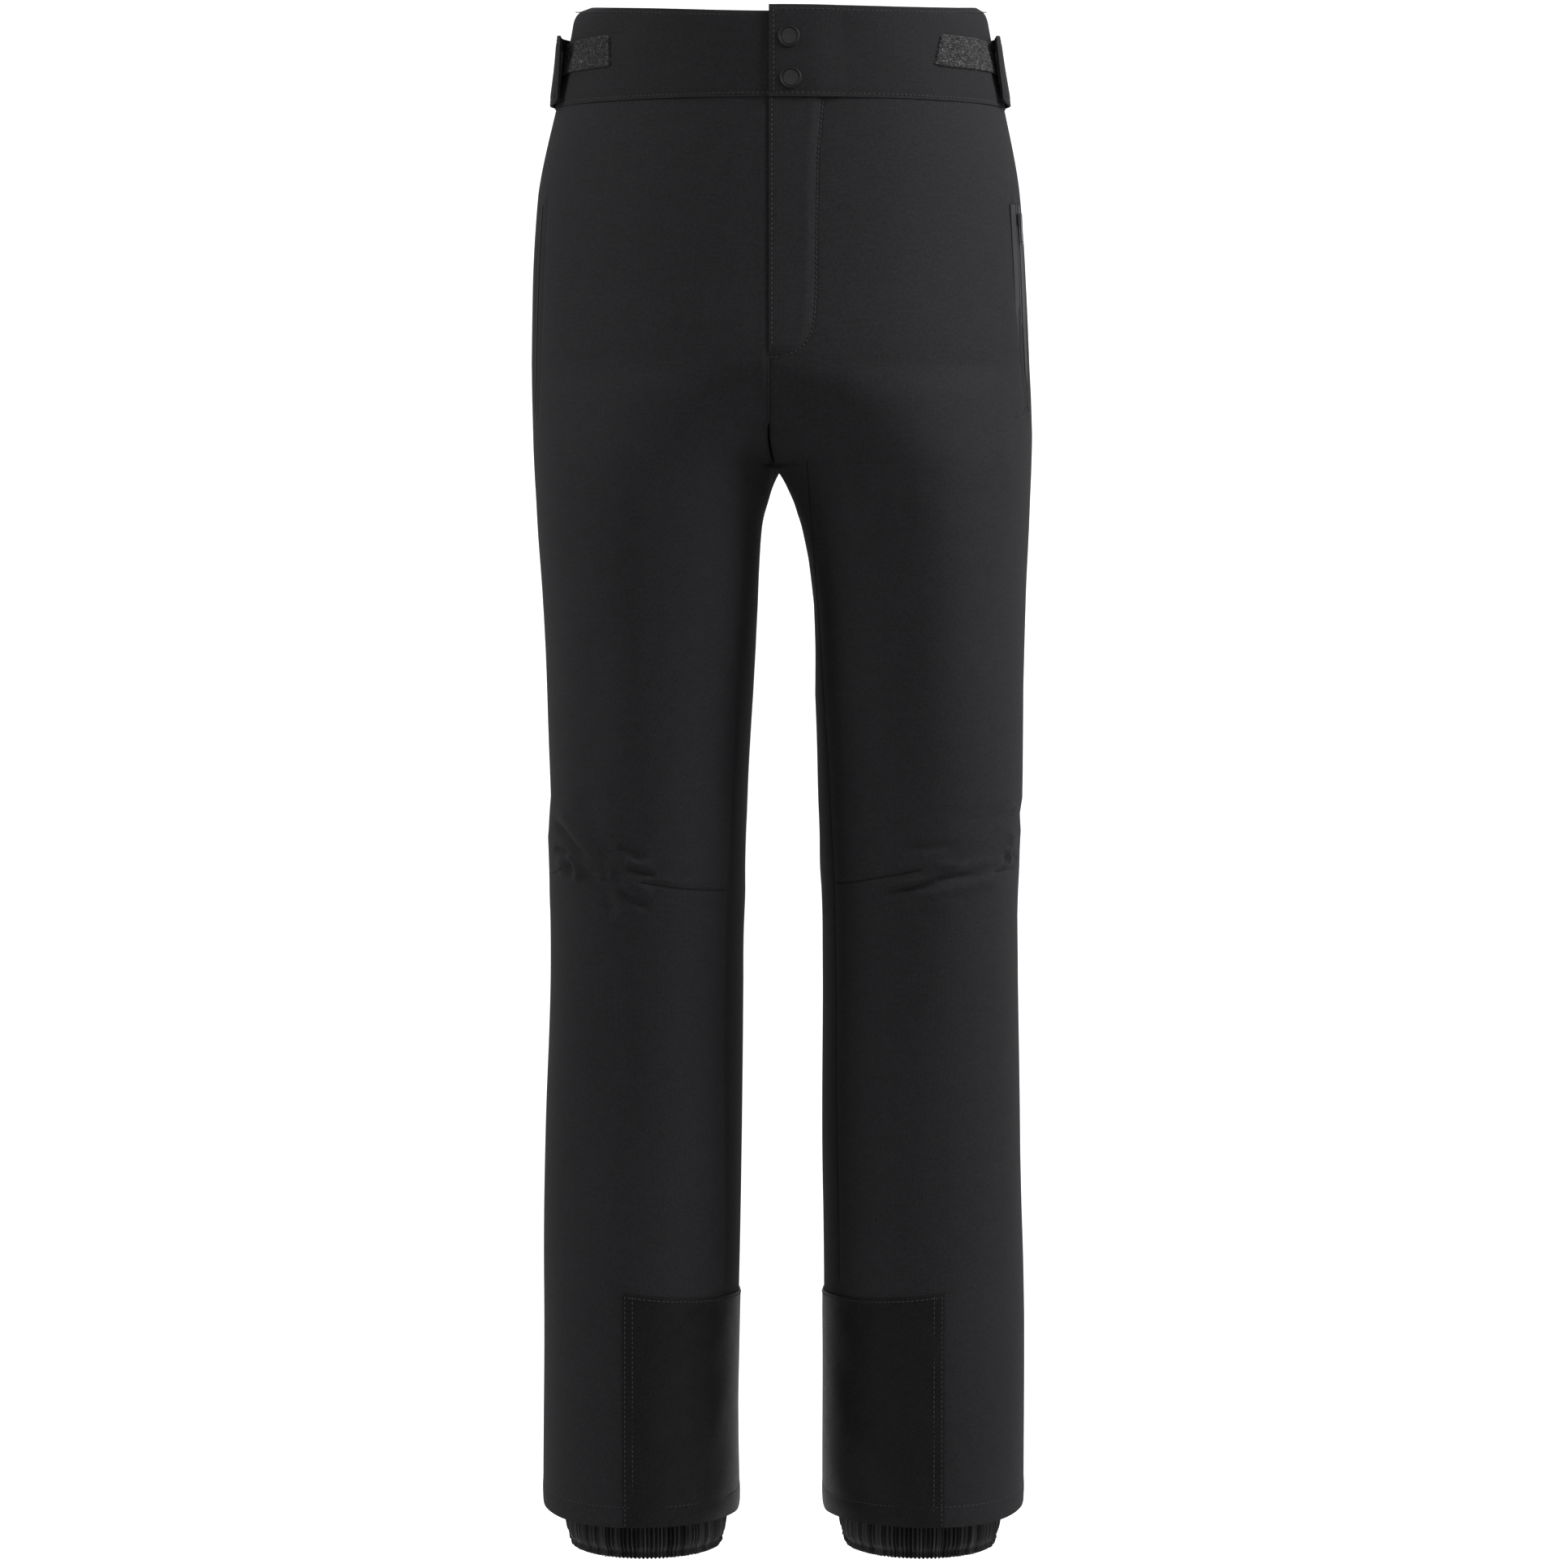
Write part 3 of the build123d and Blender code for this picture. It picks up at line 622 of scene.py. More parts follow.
def woven(name, colour, pitch, depth, roughness, sheen, twill=False, mottle=0.3, gloss=0.04):
    """Woven cloth: warp and weft in the cloth's own coordinates, uneven yarn, soft sheen."""
    m = Nodes(name)
    uv = m.coordinates("UV")
    if twill:
        turn = m.add("ShaderNodeMapping")
        turn.inputs["Rotation"].default_value = (0, 0, math.radians(52))
        m.join(uv, turn.inputs["Vector"])
        uv_turned = turn.outputs[0]
        rib = m.wave(uv_turned, 0.32 / (pitch * MM), "X", 0.6)
        cross = m.wave(uv_turned, 0.75 / (pitch * MM), "Y", 0.4)
        weave = m.weigh((rib, 0.75), (cross, 0.25))
    else:
        warp = m.wave(uv, 0.32 / (pitch * MM), "X", SLUB)
        weft = m.wave(uv, 0.32 / (pitch * MM), "Y", SLUB)
        weave = m.maths("MULTIPLY", warp, weft)
    fibre = m.noise(uv, 1400.0, 2.0, 0.6)
    patches = m.noise(uv, 90.0, 3.0, 0.55)
    broad = m.noise(uv, 9.0, 3.0, 0.5)
    grain = m.weigh((weave, 0.55), (fibre, 0.45))
    yarn = m.noise(uv, 480.0, 3.0, 0.7)
    tone = m.weigh((grain, 0.35), (patches, 0.12), (broad, 0.08), (yarn, 0.45))
    low, high = scaled(colour, 1 - mottle * 2), scaled(colour, 1 + mottle * 2)
    m.feed(m.ramp(tone, [(0.25, low), (0.72, high)]), "Base Color")
    m.feed(m.spread(patches, roughness - 0.05, roughness + 0.06), "Roughness")
    m.feed(m.bump(grain, depth, 0.0004), "Normal")
    m.set(Sheen_Weight=sheen, Sheen_Roughness=0.45, Sheen_Tint=(0.85, 0.88, 0.95, 1),
          Specular_IOR_Level=gloss)
    return m.material


def solid_material(name, colour, roughness, metallic=0.0, grain=900.0, depth=0.15, specular=0.5):
    """Moulded, painted or metal surface with fine grain and slight wear."""
    m = Nodes(name)
    where = m.coordinates("Object")
    fine = m.noise(where, grain, 3.0, 0.6)
    wear = m.noise(where, grain / 8, 4.0, 0.6)
    m.feed(m.ramp(wear, [(0.3, scaled(colour, 0.8)), (0.75, scaled(colour, 1.25))]), "Base Color")
    m.feed(m.spread(fine, roughness - 0.07, roughness + 0.08), "Roughness")
    m.feed(m.bump(fine, depth, 0.0002), "Normal")
    m.set(Metallic=metallic, Specular_IOR_Level=specular)
    return m.material


SHELL_COLOUR = (0.0062, 0.0062, 0.0067)
GUARD_COLOUR = (0.0027, 0.0027, 0.0028)

shell_cloth = woven("shell_cloth", SHELL_COLOUR, 0.8, 0.35, 0.78, 0.008, gloss=0.02)
band_cloth = woven("band_cloth", scaled(SHELL_COLOUR, 0.85), 0.8, 0.35, 0.78, 0.008, gloss=0.02)
lining_cloth = woven("lining_cloth", (0.012, 0.012, 0.013), 1.1, 0.2, 0.6, 0.08)
guard_cloth = woven("guard_cloth", GUARD_COLOUR, 1.9, 1.0, 0.45, 0.01, twill=True, mottle=0.46,
                    gloss=0.02)
gaiter_cloth = woven("gaiter_cloth", (0.0040, 0.0040, 0.0041), 0.7, 0.2, 0.5, 0.01, gloss=0.1)
tape_cloth = woven("tape_cloth", (0.006, 0.006, 0.0065), 0.9, 0.4, 0.7, 0.05, twill=True)
thread = solid_material("thread", (0.0095, 0.0095, 0.0099), 0.7, grain=2500.0, depth=0.3, specular=0.06)
# painted shade: a dark colour for the strips that stand for the shade in the seam grooves
seam_shade = solid_material("seam_shade", (0.0020, 0.0020, 0.0021), 0.9, grain=1500.0, specular=0.05)
snap_paint = solid_material("snap_paint", (0.0056, 0.0056, 0.0059), 0.5, specular=0.08)
# painted shade: a darker colour for each snap cap's rim, groove and back, standing for the shade round the
# cap
snap_rim_painted_shade = solid_material("snap_rim_painted_shade", (0.0022, 0.0022, 0.0023), 0.5, specular=0.06)
snap_brass = solid_material("snap_brass", (0.3, 0.29, 0.27), 0.35, metallic=1.0)
zip_paint = solid_material("zip_paint", (0.02, 0.02, 0.021), 0.4, metallic=0.6)
coil_plastic = solid_material("coil_plastic", (0.007, 0.007, 0.0072), 0.5, specular=0.12)
hook_plastic = solid_material("hook_plastic", (0.014, 0.014, 0.015), 0.55, grain=1500.0, depth=0.6)


def pile_material():
    """Loop tape: a brushed tangle of fibres, speckled grey."""
    m = Nodes("loop_pile")
    where = m.coordinates("Object")
    fine = m.noise(where, 1500.0, 5.0, 0.75)
    clump = m.noise(where, 420.0, 4.0, 0.7)
    both = m.weigh((fine, 0.6), (clump, 0.4))
    dark, mid, pale = (0.003, 0.003, 0.0032), (0.010, 0.010, 0.0105), (0.10, 0.10, 0.104)
    m.feed(m.ramp(both, [(0.40, dark), (0.54, mid), (0.66, pale)]), "Base Color")
    m.feed(m.bump(both, 1.0, 0.0012), "Normal")
    m.set(Roughness=0.9, Specular_IOR_Level=0.05, Sheen_Weight=0.02, Sheen_Roughness=0.6)
    return m.material


loop_pile = pile_material()


def dress(ob, material):
    ob.data.materials.clear()
    ob.data.materials.append(material)
    return ob


# ---- Shell: one piece of cloth over each hip and thigh, one over each lower leg ----

SIDES = {1: "left", -1: "right"}
CLOTH = 1.1  # thickness
COLUMNS = 289
ROW = 2.6
KNEE_ROWS = (-545.0, -640.0)  # rows lie closer together between these heights
FLY_X = 4.5
FLY_HALF_OPENING = 4.5
FLY_END = -242.0
HIP_BLEND = ((0, 0, -0.330), (0, 0, -0.495))
KNEE_BLEND = ((0, 0, -0.505), (0, 0, -0.725))


def heights(top, bottom, spacing=ROW):
    return np.linspace(top, bottom, int(round((top - bottom) / spacing)) + 1)


FLY_COLUMN = 9  # columns between the centre seam and the edge of the fly's opening
POCKET_COLUMNS = (119, 121)


def shell_angles(side, z):
    """theta of each column at each height, with columns along the fly's and the pocket's edges."""
    full = widest(SECTIONS, z, side)
    _, _, cy, b = ellipse(SECTIONS, z, side)
    even = np.linspace(-1, 1, COLUMNS)[None, :] * full[:, None]
    fly = angle_at_x(side, z, side * (FLY_X + FLY_HALF_OPENING))
    near, far = (np.arcsin((POCKET_Y + d * POCKET_HALF - cy) / b) for d in (-1, 1))
    stops = [0, FLY_COLUMN, *POCKET_COLUMNS, COLUMNS - 1]
    marks = np.stack([-full, fly, near, far, full], -1)
    laid = np.stack([np.interp(np.arange(COLUMNS), stops, row) for row in marks])
    share = smooth(-318, -292, z)[:, None]
    return laid * share + even * (1 - share)


def shell_piece(side, name, top, bottom):
    z = heights(top, bottom)
    if bottom < KNEE_ROWS[1] and top > KNEE_ROWS[0]:
        z = np.concatenate([z[z > KNEE_ROWS[0]], heights(*KNEE_ROWS, 1.25), z[z < KNEE_ROWS[1]]])
    for mark in (CROTCH, FLY_END, *POCKET_Z):
        if bottom < mark < top:
            z[np.argmin(abs(z - mark))] = mark
    theta = shell_angles(side, z)
    level = np.broadcast_to(z[:, None], theta.shape)
    outer, inner = (surface(side, level, theta, offset) for offset in (0.0, -CLOTH))
    uv = cloth_uv(side, level, theta)
    closed = z <= CROTCH
    column = np.arange(COLUMNS - 1)[None, :]
    middle = (z[:-1] + z[1:])[:, None] / 2
    drop = (POCKET_COLUMNS[0] <= column) & (column < POCKET_COLUMNS[1])
    drop = drop & (POCKET_Z[0] < middle) & (middle < POCKET_Z[1])
    if side > 0:
        drop = drop | ((column < FLY_COLUMN) & (middle > FLY_END))
        drop = drop[:, ::-1]
    outer, inner, uv = orient([outer, inner, uv], side)
    ob = cloth(name, outer, inner, uv, closed, drop)
    return dress(ob, shell_cloth)


for side, word in SIDES.items():
    upper = shell_piece(side, f"shell_upper_{word}", WAIST_SEAM, SPLIT)
    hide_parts(f"hip_panel_front_{word}", f"hip_panel_back_{word}", f"hip_bend_{word}")
    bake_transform(upper)
    lower = shell_piece(side, f"shell_lower_{word}", SPLIT, HEM)
    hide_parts(f"thigh_panel_front_{word}", f"thigh_panel_back_{word}", f"knee_bend_{word}",
                f"shin_panel_front_{word}", f"shin_panel_back_{word}")
    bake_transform(lower)


# ---- Waistband with its overlap, and the fly placket ----

BAND = 3.0  # thickness
BAND_OUT = 0.9
BAND_ROWS = 26
SEWN_UP = 2.4  # the band's lower row of stitches lies this far above the seam
SEWN_DOWN = 3.2  # and its upper row this far below the top edge
STEP = 2.2  # how much the overlap's edge stands over the middle height, and the underlap's below
FLAP_EDGE = -10.0
OVERLAP_START = 52.0
OVERLAP_OUT = 1.9
PLACKET_END = -250.0


def band_lift(x, over):
    """Rise of the waist's edge near the front: the overlap stands higher than what lies under it."""
    away = np.clip(np.abs(x) / 140.0, 0, 1)
    return np.where(over, STEP, -STEP) * (1 - away * away * (3 - 2 * away))


def top_rounding(v):
    """How far both faces draw in at the folded top edge."""
    return 1.1 * smooth(0.965, 1.0, v)


def band_offset(v, top_gap, seam_gap, theta, side):
    """Height of the band's outer face over the plain surface."""
    hollow = 0.45 * bell(seam_gap, SEWN_UP, 1.2) + 0.45 * bell(top_gap, SEWN_DOWN, 1.1)
    ripple = 0.3 * np.sin(theta * 9 + side) * np.sin(v * 5.1 + theta * 4)
    return BAND_OUT - hollow - top_rounding(v) + ripple


def band_ring(spans):
    """Side, theta and foot point of each column."""
    side = np.concatenate([np.full(len(t), s) for s, t in spans])
    theta = np.concatenate([t for _, t in spans])
    foot = np.array([surface(s, WAIST_SEAM, t, 0, relief=False) for s, t in zip(side, theta)])
    return side, theta, foot


def on_band(side, z, theta, offset):
    """Surface points where side may change along the last axis."""
    both = {s: surface(s, z, theta, offset, relief=False) for s in SIDES}
    return np.where((side > 0)[..., None], both[1], both[-1])


TUCK = {1: 6.0, -1: 10.0}  # the elastic draws the band's upper edge in at the sides
TUCK_DEPTH = 12.0


def band_piece(name, spans, over, raised=None):
    """A stretch of waistband, folded at its top. spans are (side, theta values) in order round it."""
    side, theta, foot = band_ring(spans)
    raised = np.zeros(len(side)) if raised is None else raised(foot[:, 0])
    top = foot[:, 1] * WAIST_SLOPE + band_lift(foot[:, 0], over(foot[:, 0]))
    v = np.linspace(0, 1, BAND_ROWS)[:, None]
    z = WAIST_SEAM + (top - WAIST_SEAM)[None] * v
    face = band_offset(v, top[None] - z, z - WAIST_SEAM, theta[None], side[None]) + raised[None]
    lining = np.broadcast_to(BAND_OUT - BAND + top_rounding(v) + raised[None], z.shape)
    near_top = np.clip(1 - (top[None] - z) / TUCK_DEPTH, 0, 1)
    tuck = np.where(side > 0, TUCK[1], TUCK[-1]) * bell(theta, 0, 0.42)
    drawn_in = tuck[None] * (1 - np.sqrt(1 - near_top**2))
    face, lining = face - drawn_in, lining - drawn_in
    level = np.concatenate([z, z[::-1]])
    offset = np.concatenate([face, lining[::-1]])
    sides = np.broadcast_to(side[None], level.shape)
    grid = on_band(sides, level, np.broadcast_to(theta[None], level.shape), offset)
    rows, cols = grid.shape[:2]
    index = np.arange(rows * cols).reshape(rows, cols)
    rolled = np.roll(index, -1, axis=0)
    quads = np.stack([index[:, :-1], index[:, 1:], rolled[:, 1:], rolled[:, :-1]], -1).reshape(-1, 4)
    caps = [tuple(index[:, 0].tolist()), tuple(index[::-1, -1].tolist())]
    length = np.concatenate([[0], np.cumsum(np.linalg.norm(np.diff(grid[0], axis=0), axis=1))])
    uv = np.stack([np.broadcast_to(length, (rows, cols)), grid[..., 2]], -1)
    return new_object(name, grid.reshape(-1, 3), quads.tolist() + caps, uv.reshape(-1, 2))


UNDERLAP_END = 25.0
BAND_START = 44.0
OVER_X = 40  # beyond this signed x the band's edge is at the overlap's height


def round_waist(count):
    """Spans from the wearer's left front round the back to the end of the underlap."""
    left = np.linspace(float(angle_at_x(1, WAIST_SEAM, BAND_START)), math.pi / 2, count)
    right = np.linspace(math.pi / 2, float(angle_at_x(-1, WAIST_SEAM, UNDERLAP_END)), count)[1:]
    return [(1, left), (-1, right)]


band = band_piece("waistband", round_waist(150), lambda x: x > OVER_X)
dress(band, band_cloth)
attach(band, "hips")
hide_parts("waistband_back", "waistband_front_left", "waistband_front_right")


OVERLAP_FOOT = 0.3  # its end sinks this far into the band


def overlap_raise(x):
    """How far the overlap stands out over the band."""
    return (OVERLAP_OUT + OVERLAP_FOOT) * smooth(OVERLAP_START, 20, x) - OVERLAP_FOOT


overlap_span = [(1, angle_at_x(1, WAIST_SEAM, np.linspace(FLAP_EDGE, OVERLAP_START, 40)))]
overlap = band_piece("waistband_overlap_cloth", overlap_span,
                     lambda x: np.ones(x.shape, bool), overlap_raise)
dress(overlap, band_cloth)
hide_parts("waistband_overlap")
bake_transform(overlap)

J_LINE = [(27.4, -72), (23.6, -112), (22.8, -160), (22.4, -205), (21.0, -228), (15.5, -242),
          (4.0, -248.5), (-9.8, -250)]


J_POINTS = 160
J_ROUNDS = 30


def j_curve():
    """The fly's stitch line, rounded."""
    points = np.array(J_LINE, float)
    at = running_length(points)
    fine = np.linspace(0, at[-1], J_POINTS)
    x = np.interp(fine, at, points[:, 0])
    z = np.interp(fine, at, points[:, 1])
    for _ in range(J_ROUNDS):
        x[1:-1] = (x[:-2] + x[1:-1] * 2 + x[2:]) / 4
        z[1:-1] = (z[:-2] + z[1:-1] * 2 + z[2:]) / 4
    return x, z


def j_x(z):
    """Signed x of the stitch line at height z."""
    x, zz = j_curve()
    order = np.argsort(zz)
    return np.interp(z, zz[order], x[order])


def front_point(x, z, offset):
    """Point on the front at signed x: offset from the left half's surface run on past the middle."""
    return surface(1, z, angle_at_x(1, z, x), offset)


PLACKET_OUT = 1.3
PLACKET_WALL = 1.2
PLACKET_FOOT = 0.25


def placket():
    """Front layer of the fly: proud at its free edge, running into the panel at the stitch line."""
    level = heights(WAIST_SEAM, PLACKET_END, 2.6)[:, None]
    right = np.maximum(j_x(level) + 1.5, FLAP_EDGE + 0.6)
    x = FLAP_EDGE + (right - FLAP_EDGE) * np.linspace(0, 1, 34)[None]
    z = np.broadcast_to(level, x.shape)
    to_line = right - 1.5 - x
    foot = smooth(PLACKET_END - 0.5, PLACKET_END + 7, z)
    pucker = 0.25 * bell(to_line, 6.5, 4.0) - 0.4 * bell(to_line, 0, 1.3)
    offset = PLACKET_FOOT + foot * (PLACKET_OUT * smooth(-1.0, 9.0, to_line) + pucker)
    outer = front_point(x, z, offset)
    inner = front_point(x, z, offset - PLACKET_WALL * (0.25 + 0.75 * foot))
    uv = np.stack([x, z], -1)
    return cloth("fly_placket_cloth", outer[:, ::-1], inner[:, ::-1], uv[:, ::-1])


placket_cloth = placket()
dress(placket_cloth, shell_cloth)
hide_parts("fly_placket")
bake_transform(placket_cloth)


# ---- Snaps ----

SNAP_X = (3.6, 4.8)
SNAP_Z = (-30.0, -58.5)
FRONT_TILT = math.atan(20 / 240)
CAP_PROFILE = [(0.0, 0.75), (2.0, 0.78), (4.6, 0.86), (5.35, 0.9), (5.6, 0.72), (5.9, 0.72), (6.15, 1.15),
               (6.7, 1.35), (7.2, 1.2), (7.5, 0.7), (7.5, 0.1), (7.1, 0.0), (0.0, 0.0)]


CAP_SIDES = 64
CAP_RIM = 3  # number of the profile's first ring that belongs to the rim, which is coloured with painted shade


def lathe(name, places, profile, sides):
    """Discs turned from a profile of (radius, height), facing the wearer's front."""
    verts, faces = [], []
    out = np.array([0, -math.cos(FRONT_TILT), math.sin(FRONT_TILT)])
    up = np.array([0, math.sin(FRONT_TILT), math.cos(FRONT_TILT)])
    right = np.array([1.0, 0, 0])
    for place in places:
        base = len(verts)
        for radius, height in profile:
            for k in range(sides):
                turn = 2 * math.pi * k / sides
                spoke = right * math.cos(turn) + up * math.sin(turn)
                verts.append(np.array(place) + spoke * max(radius, 0.01) + out * height)
        for i in range(len(profile) - 1):
            for k in range(sides):
                a, b = base + i * sides + k, base + i * sides + (k + 1) % sides
                faces.append((a, a + sides, b + sides, b))
    return new_object(name, verts, faces)


snap_places = front_point(np.array(SNAP_X), np.array(SNAP_Z), OVERLAP_OUT + 0.8)
caps = lathe("snap_cap_discs", snap_places, CAP_PROFILE, CAP_SIDES)
caps.data.materials.append(snap_paint)
caps.data.materials.append(snap_rim_painted_shade)
# the rim's rings take the darker painted shade, the face keeps the cap's own paint
for polygon in caps.data.polygons:
    ring_number = (polygon.index // CAP_SIDES) % (len(CAP_PROFILE) - 1)
    polygon.material_index = 1 if ring_number >= CAP_RIM else 0
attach(caps, "front_flap")
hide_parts("snap_caps")


# ---- Side adjusters ----

TAB_FOOT, TAB_TOP = -69.0, -21.5
TAB_BACK_Y = 66.0
TAB_FRONT_Y = -26.0
HOOK_Y = (-23.0, -3.0)
HOOK_Z = (-56.0, -33.0)
PATCH_Z = (-48.0, -25.0)
PATCH_FRONT_X = {1: 105.5, -1: 119.0}
PATCH_SLANT = {1: 0.075, -1: 0.05}  # the front edge leans outwards towards its top, in radians


def side_angle(z, y):
    """theta on the outer side at depth y."""
    _, _, cy, b = ellipse(SECTIONS, z)
    return np.arcsin(np.clip((y - cy) / b, -1, 1))


TAB_LEAN = {1: 3.4, -1: 7.2}  # how much further out the upper edge stands


def tab_stand(side, s, v):
    """How far the tab's outer face stands off the plain surface at s along it and v up it."""
    return 3.0 + smooth(0.35, 1.0, s) * (3.2 + TAB_LEAN[side] * v) + 0.5 * np.sin(3.1 * v + 4 * s) * s


def adjuster_tab(side, word):
    """Doubled strap from behind the side to its free end, standing off the band towards the front."""
    s = np.linspace(0, 1, 56)[None]
    v = np.linspace(0, 1, 30)[:, None]
    y = TAB_BACK_Y + (TAB_FRONT_Y - TAB_BACK_Y) * s
    narrow = 2.5 * smooth(0.93, 1.0, s) + 1.5 * (1 - smooth(0, 0.3, s))
    z = TAB_FOOT + narrow + (TAB_TOP - TAB_FOOT - 2 * narrow) * v
    y = np.broadcast_to(y, z.shape)
    edge = 1 - np.abs(2 * v - 1)
    sewn = -0.4 * bell(edge, 0.13, 0.03) - 0.4 * bell(s, 0.965, 0.008)
    belly = 0.6 * smooth(0, 0.35, edge) * smooth(1.0, 0.96, s)
    offset = tab_stand(side, s, v) + belly + sewn
    theta = side_angle(z, y)
    outer = surface(side, z, theta, offset, relief=False)
    inner = surface(side, z, theta, tab_stand(side, s, v) - 1.8 - belly * 0.5, relief=False)
    uv = np.stack([y, z], -1)
    if side < 0:
        outer, inner, uv = (g[:, ::-1] for g in (outer, inner, uv))
    ob = cloth(f"adjuster_tab_{word}", outer, inner, uv)
    dress(ob, band_cloth)
    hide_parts(f"waist_tab_{word}")
    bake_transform(ob)
    s = np.linspace(0.045, 0.945, 40)
    y = TAB_BACK_Y + (TAB_FRONT_Y - TAB_BACK_Y) * s
    paths = []
    for up in (0.06, 0.94):
        z = TAB_FOOT + (TAB_TOP - TAB_FOOT) * up + np.zeros_like(y)
        paths.append(surface(side, z, side_angle(z, y), tab_stand(side, s, up) + 0.1, relief=False))
    sewing = stitches(f"tab_stitches_{word}", paths, TORSO_CENTRE)
    dress(sewing, thread)
    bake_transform(sewing)


def rough(shape, seed):
    """Even noise from 0 to 1."""
    return np.random.default_rng(seed).random(shape)


def hook_patch(side, word):
    """Hook tape under the tab's free end."""
    y = np.linspace(*HOOK_Y, 60)[None]
    z = np.linspace(*HOOK_Z, 70)[:, None]
    y, z = np.broadcast_arrays(y, z)
    s = (y - TAB_BACK_Y) / (TAB_FRONT_Y - TAB_BACK_Y)
    v = (z - TAB_FOOT) / (TAB_TOP - TAB_FOOT)
    under = tab_stand(side, s, v) - 2.3
    theta = side_angle(z, y)
    hooks = 0.5 * (np.indices(z.shape).sum(0) % 3 == 0)
    top = surface(side, z, theta, under, relief=False)
    low = surface(side, z, theta, under - 0.5 - hooks, relief=False)
    if side < 0:
        top, low = top[:, ::-1], low[:, ::-1]
    ob = cloth(f"hook_tape_{word}", top[:, ::-1], low[:, ::-1], np.stack([y, z], -1))
    dress(ob, hook_plastic)
    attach(ob, f"{word}_tab")
    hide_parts(f"hook_pad_{word}")


def loop_patch(side, word):
    """Brushed loop tape: a crowned patch covered with small upright loops of fibre."""
    rows, cols = 64, 190
    low, high = PATCH_Z
    s = np.linspace(0, 1, cols)[None]
    v = np.linspace(0, 1, rows)[:, None]
    start = float(side_angle(-36, -4.0))
    end = float(angle_at_x(side, -36, side * PATCH_FRONT_X[side]))
    corner = 1.0 - (1 - np.sqrt(1 - np.clip((s - 0.90) / 0.10, 0, 1) ** 2)) * 0.2
    z = (low + high) / 2 + (high - low) * (v - 0.5) * corner + 1.2 * (s - 0.5)
    theta = start + (end - start) * s - PATCH_SLANT[side] * (v - 0.5) * s * np.sign(end - start)
    tangle = rough(z.shape, 11 + side)
    tangle = (tangle + np.roll(tangle, 1, 0) + np.roll(tangle, 1, 1)) / 3
    i, j = np.indices(z.shape)
    edge = np.minimum(np.minimum(i, rows - 1 - i), np.minimum(j, cols - 1 - j))
    height = 1.1 + np.where(edge < 2, 0.15, 0.35 + 1.9 * tangle)
    height = np.where(edge == 0, 0.3, height)
    grid = surface(side, z, theta, height, relief=False)
    index = np.arange(rows * cols).reshape(rows, cols)
    quads = grid_quads(index)
    if side > 0:
        quads = quads[:, ::-1]
    ob = new_object(f"loop_tape_{word}", grid.reshape(-1, 3), quads.tolist())
    dress(ob, loop_pile)
    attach(ob, "hips")
    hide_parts(f"loop_patch_{word}")


def rounded_sheet(low, high, corner, count):
    """Unit grid laid out over a rectangle with rounded corners. low and high are (across, up)."""
    across, up = np.linspace(-1, 1, count)[None], np.linspace(-1, 1, 2 * count)[:, None]
    wide, tall = (high[0] - low[0]) / 2, (high[1] - low[1]) / 2
    near_end = np.clip((np.abs(up) * tall - (tall - corner)) / corner, 0, 0.999)
    reach = wide - corner * (1 - np.sqrt(1 - near_end**2))
    return (low[0] + high[0]) / 2 + across * reach, (low[1] + high[1]) / 2 + up * tall + 0 * across


BAG = ((-95.0, -329.0), (-13.0, -113.0), 24.0, 40)  # corners, their radius, columns
BAG_FACES = (-4.9, -5.5)  # outer and inner face over the plain surface
SHIELD = ((-9.0, -249.0), (22.0, -72.0), 8.0, 26)
SHIELD_FACES = (-4.9, -5.6)


def pocket_bag(side, word):
    """Thin pocketing that hangs flat behind the hip panel, a little creased."""
    y, z = rounded_sheet(*BAG)
    theta = side_angle(z, y)
    crease = 0.35 * np.sin(z / 17 + y / 11) + 0.3 * np.sin(z / 29 - y / 7 + side)
    outer, inner = (surface(side, z, theta, crease + face, relief=False) for face in BAG_FACES)
    uv = np.stack([y, z], -1)
    if side > 0:
        outer, inner, uv = (g[::-1] for g in (outer, inner, uv))
    ob = cloth(f"pocket_lining_{word}", outer, inner, uv)
    dress(ob, lining_cloth)
    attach(ob, "hips")
    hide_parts(f"pocket_bag_{word}")


def fly_shield():
    """Facing behind the fly's zip."""
    x, z = rounded_sheet(*SHIELD)
    wave = 0.2 * np.sin(z / 21 + x / 9)
    outer, inner = (front_point(x, z, wave + face) for face in SHIELD_FACES)
    uv = np.stack([x, z], -1)
    ob = cloth("fly_facing", outer[::-1], inner[::-1], uv[::-1])
    dress(ob, lining_cloth)
    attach(ob, "hips")
    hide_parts("fly_shield")


fly_shield()
for side, word in SIDES.items():
    pocket_bag(side, word)
    adjuster_tab(side, word)
    hook_patch(side, word)
    loop_patch(side, word)


# ---- Scuff guards, gaiters ----

GUARD_X = 112.0
GUARD_OUT = 0.9


def guard_level(u, v):
    """Height at u across the guard, 0 and 1 at its back and front edges, and v down it."""
    top = GUARD_TOP - 8.0 * np.sin(math.pi * u) ** 0.7 + 1.0 * u
    return top + (HEM + 0.5 - top) * v


def guard_angle(side, z, u):
    """theta at u across the guard, going round the leg's inner side."""
    front_edge = angle_at_x(side, z, side * GUARD_X)
    back_edge = angle_at_x(side, z, side * GUARD_X, front=False) - 2 * math.pi
    return back_edge + (front_edge - back_edge) * u


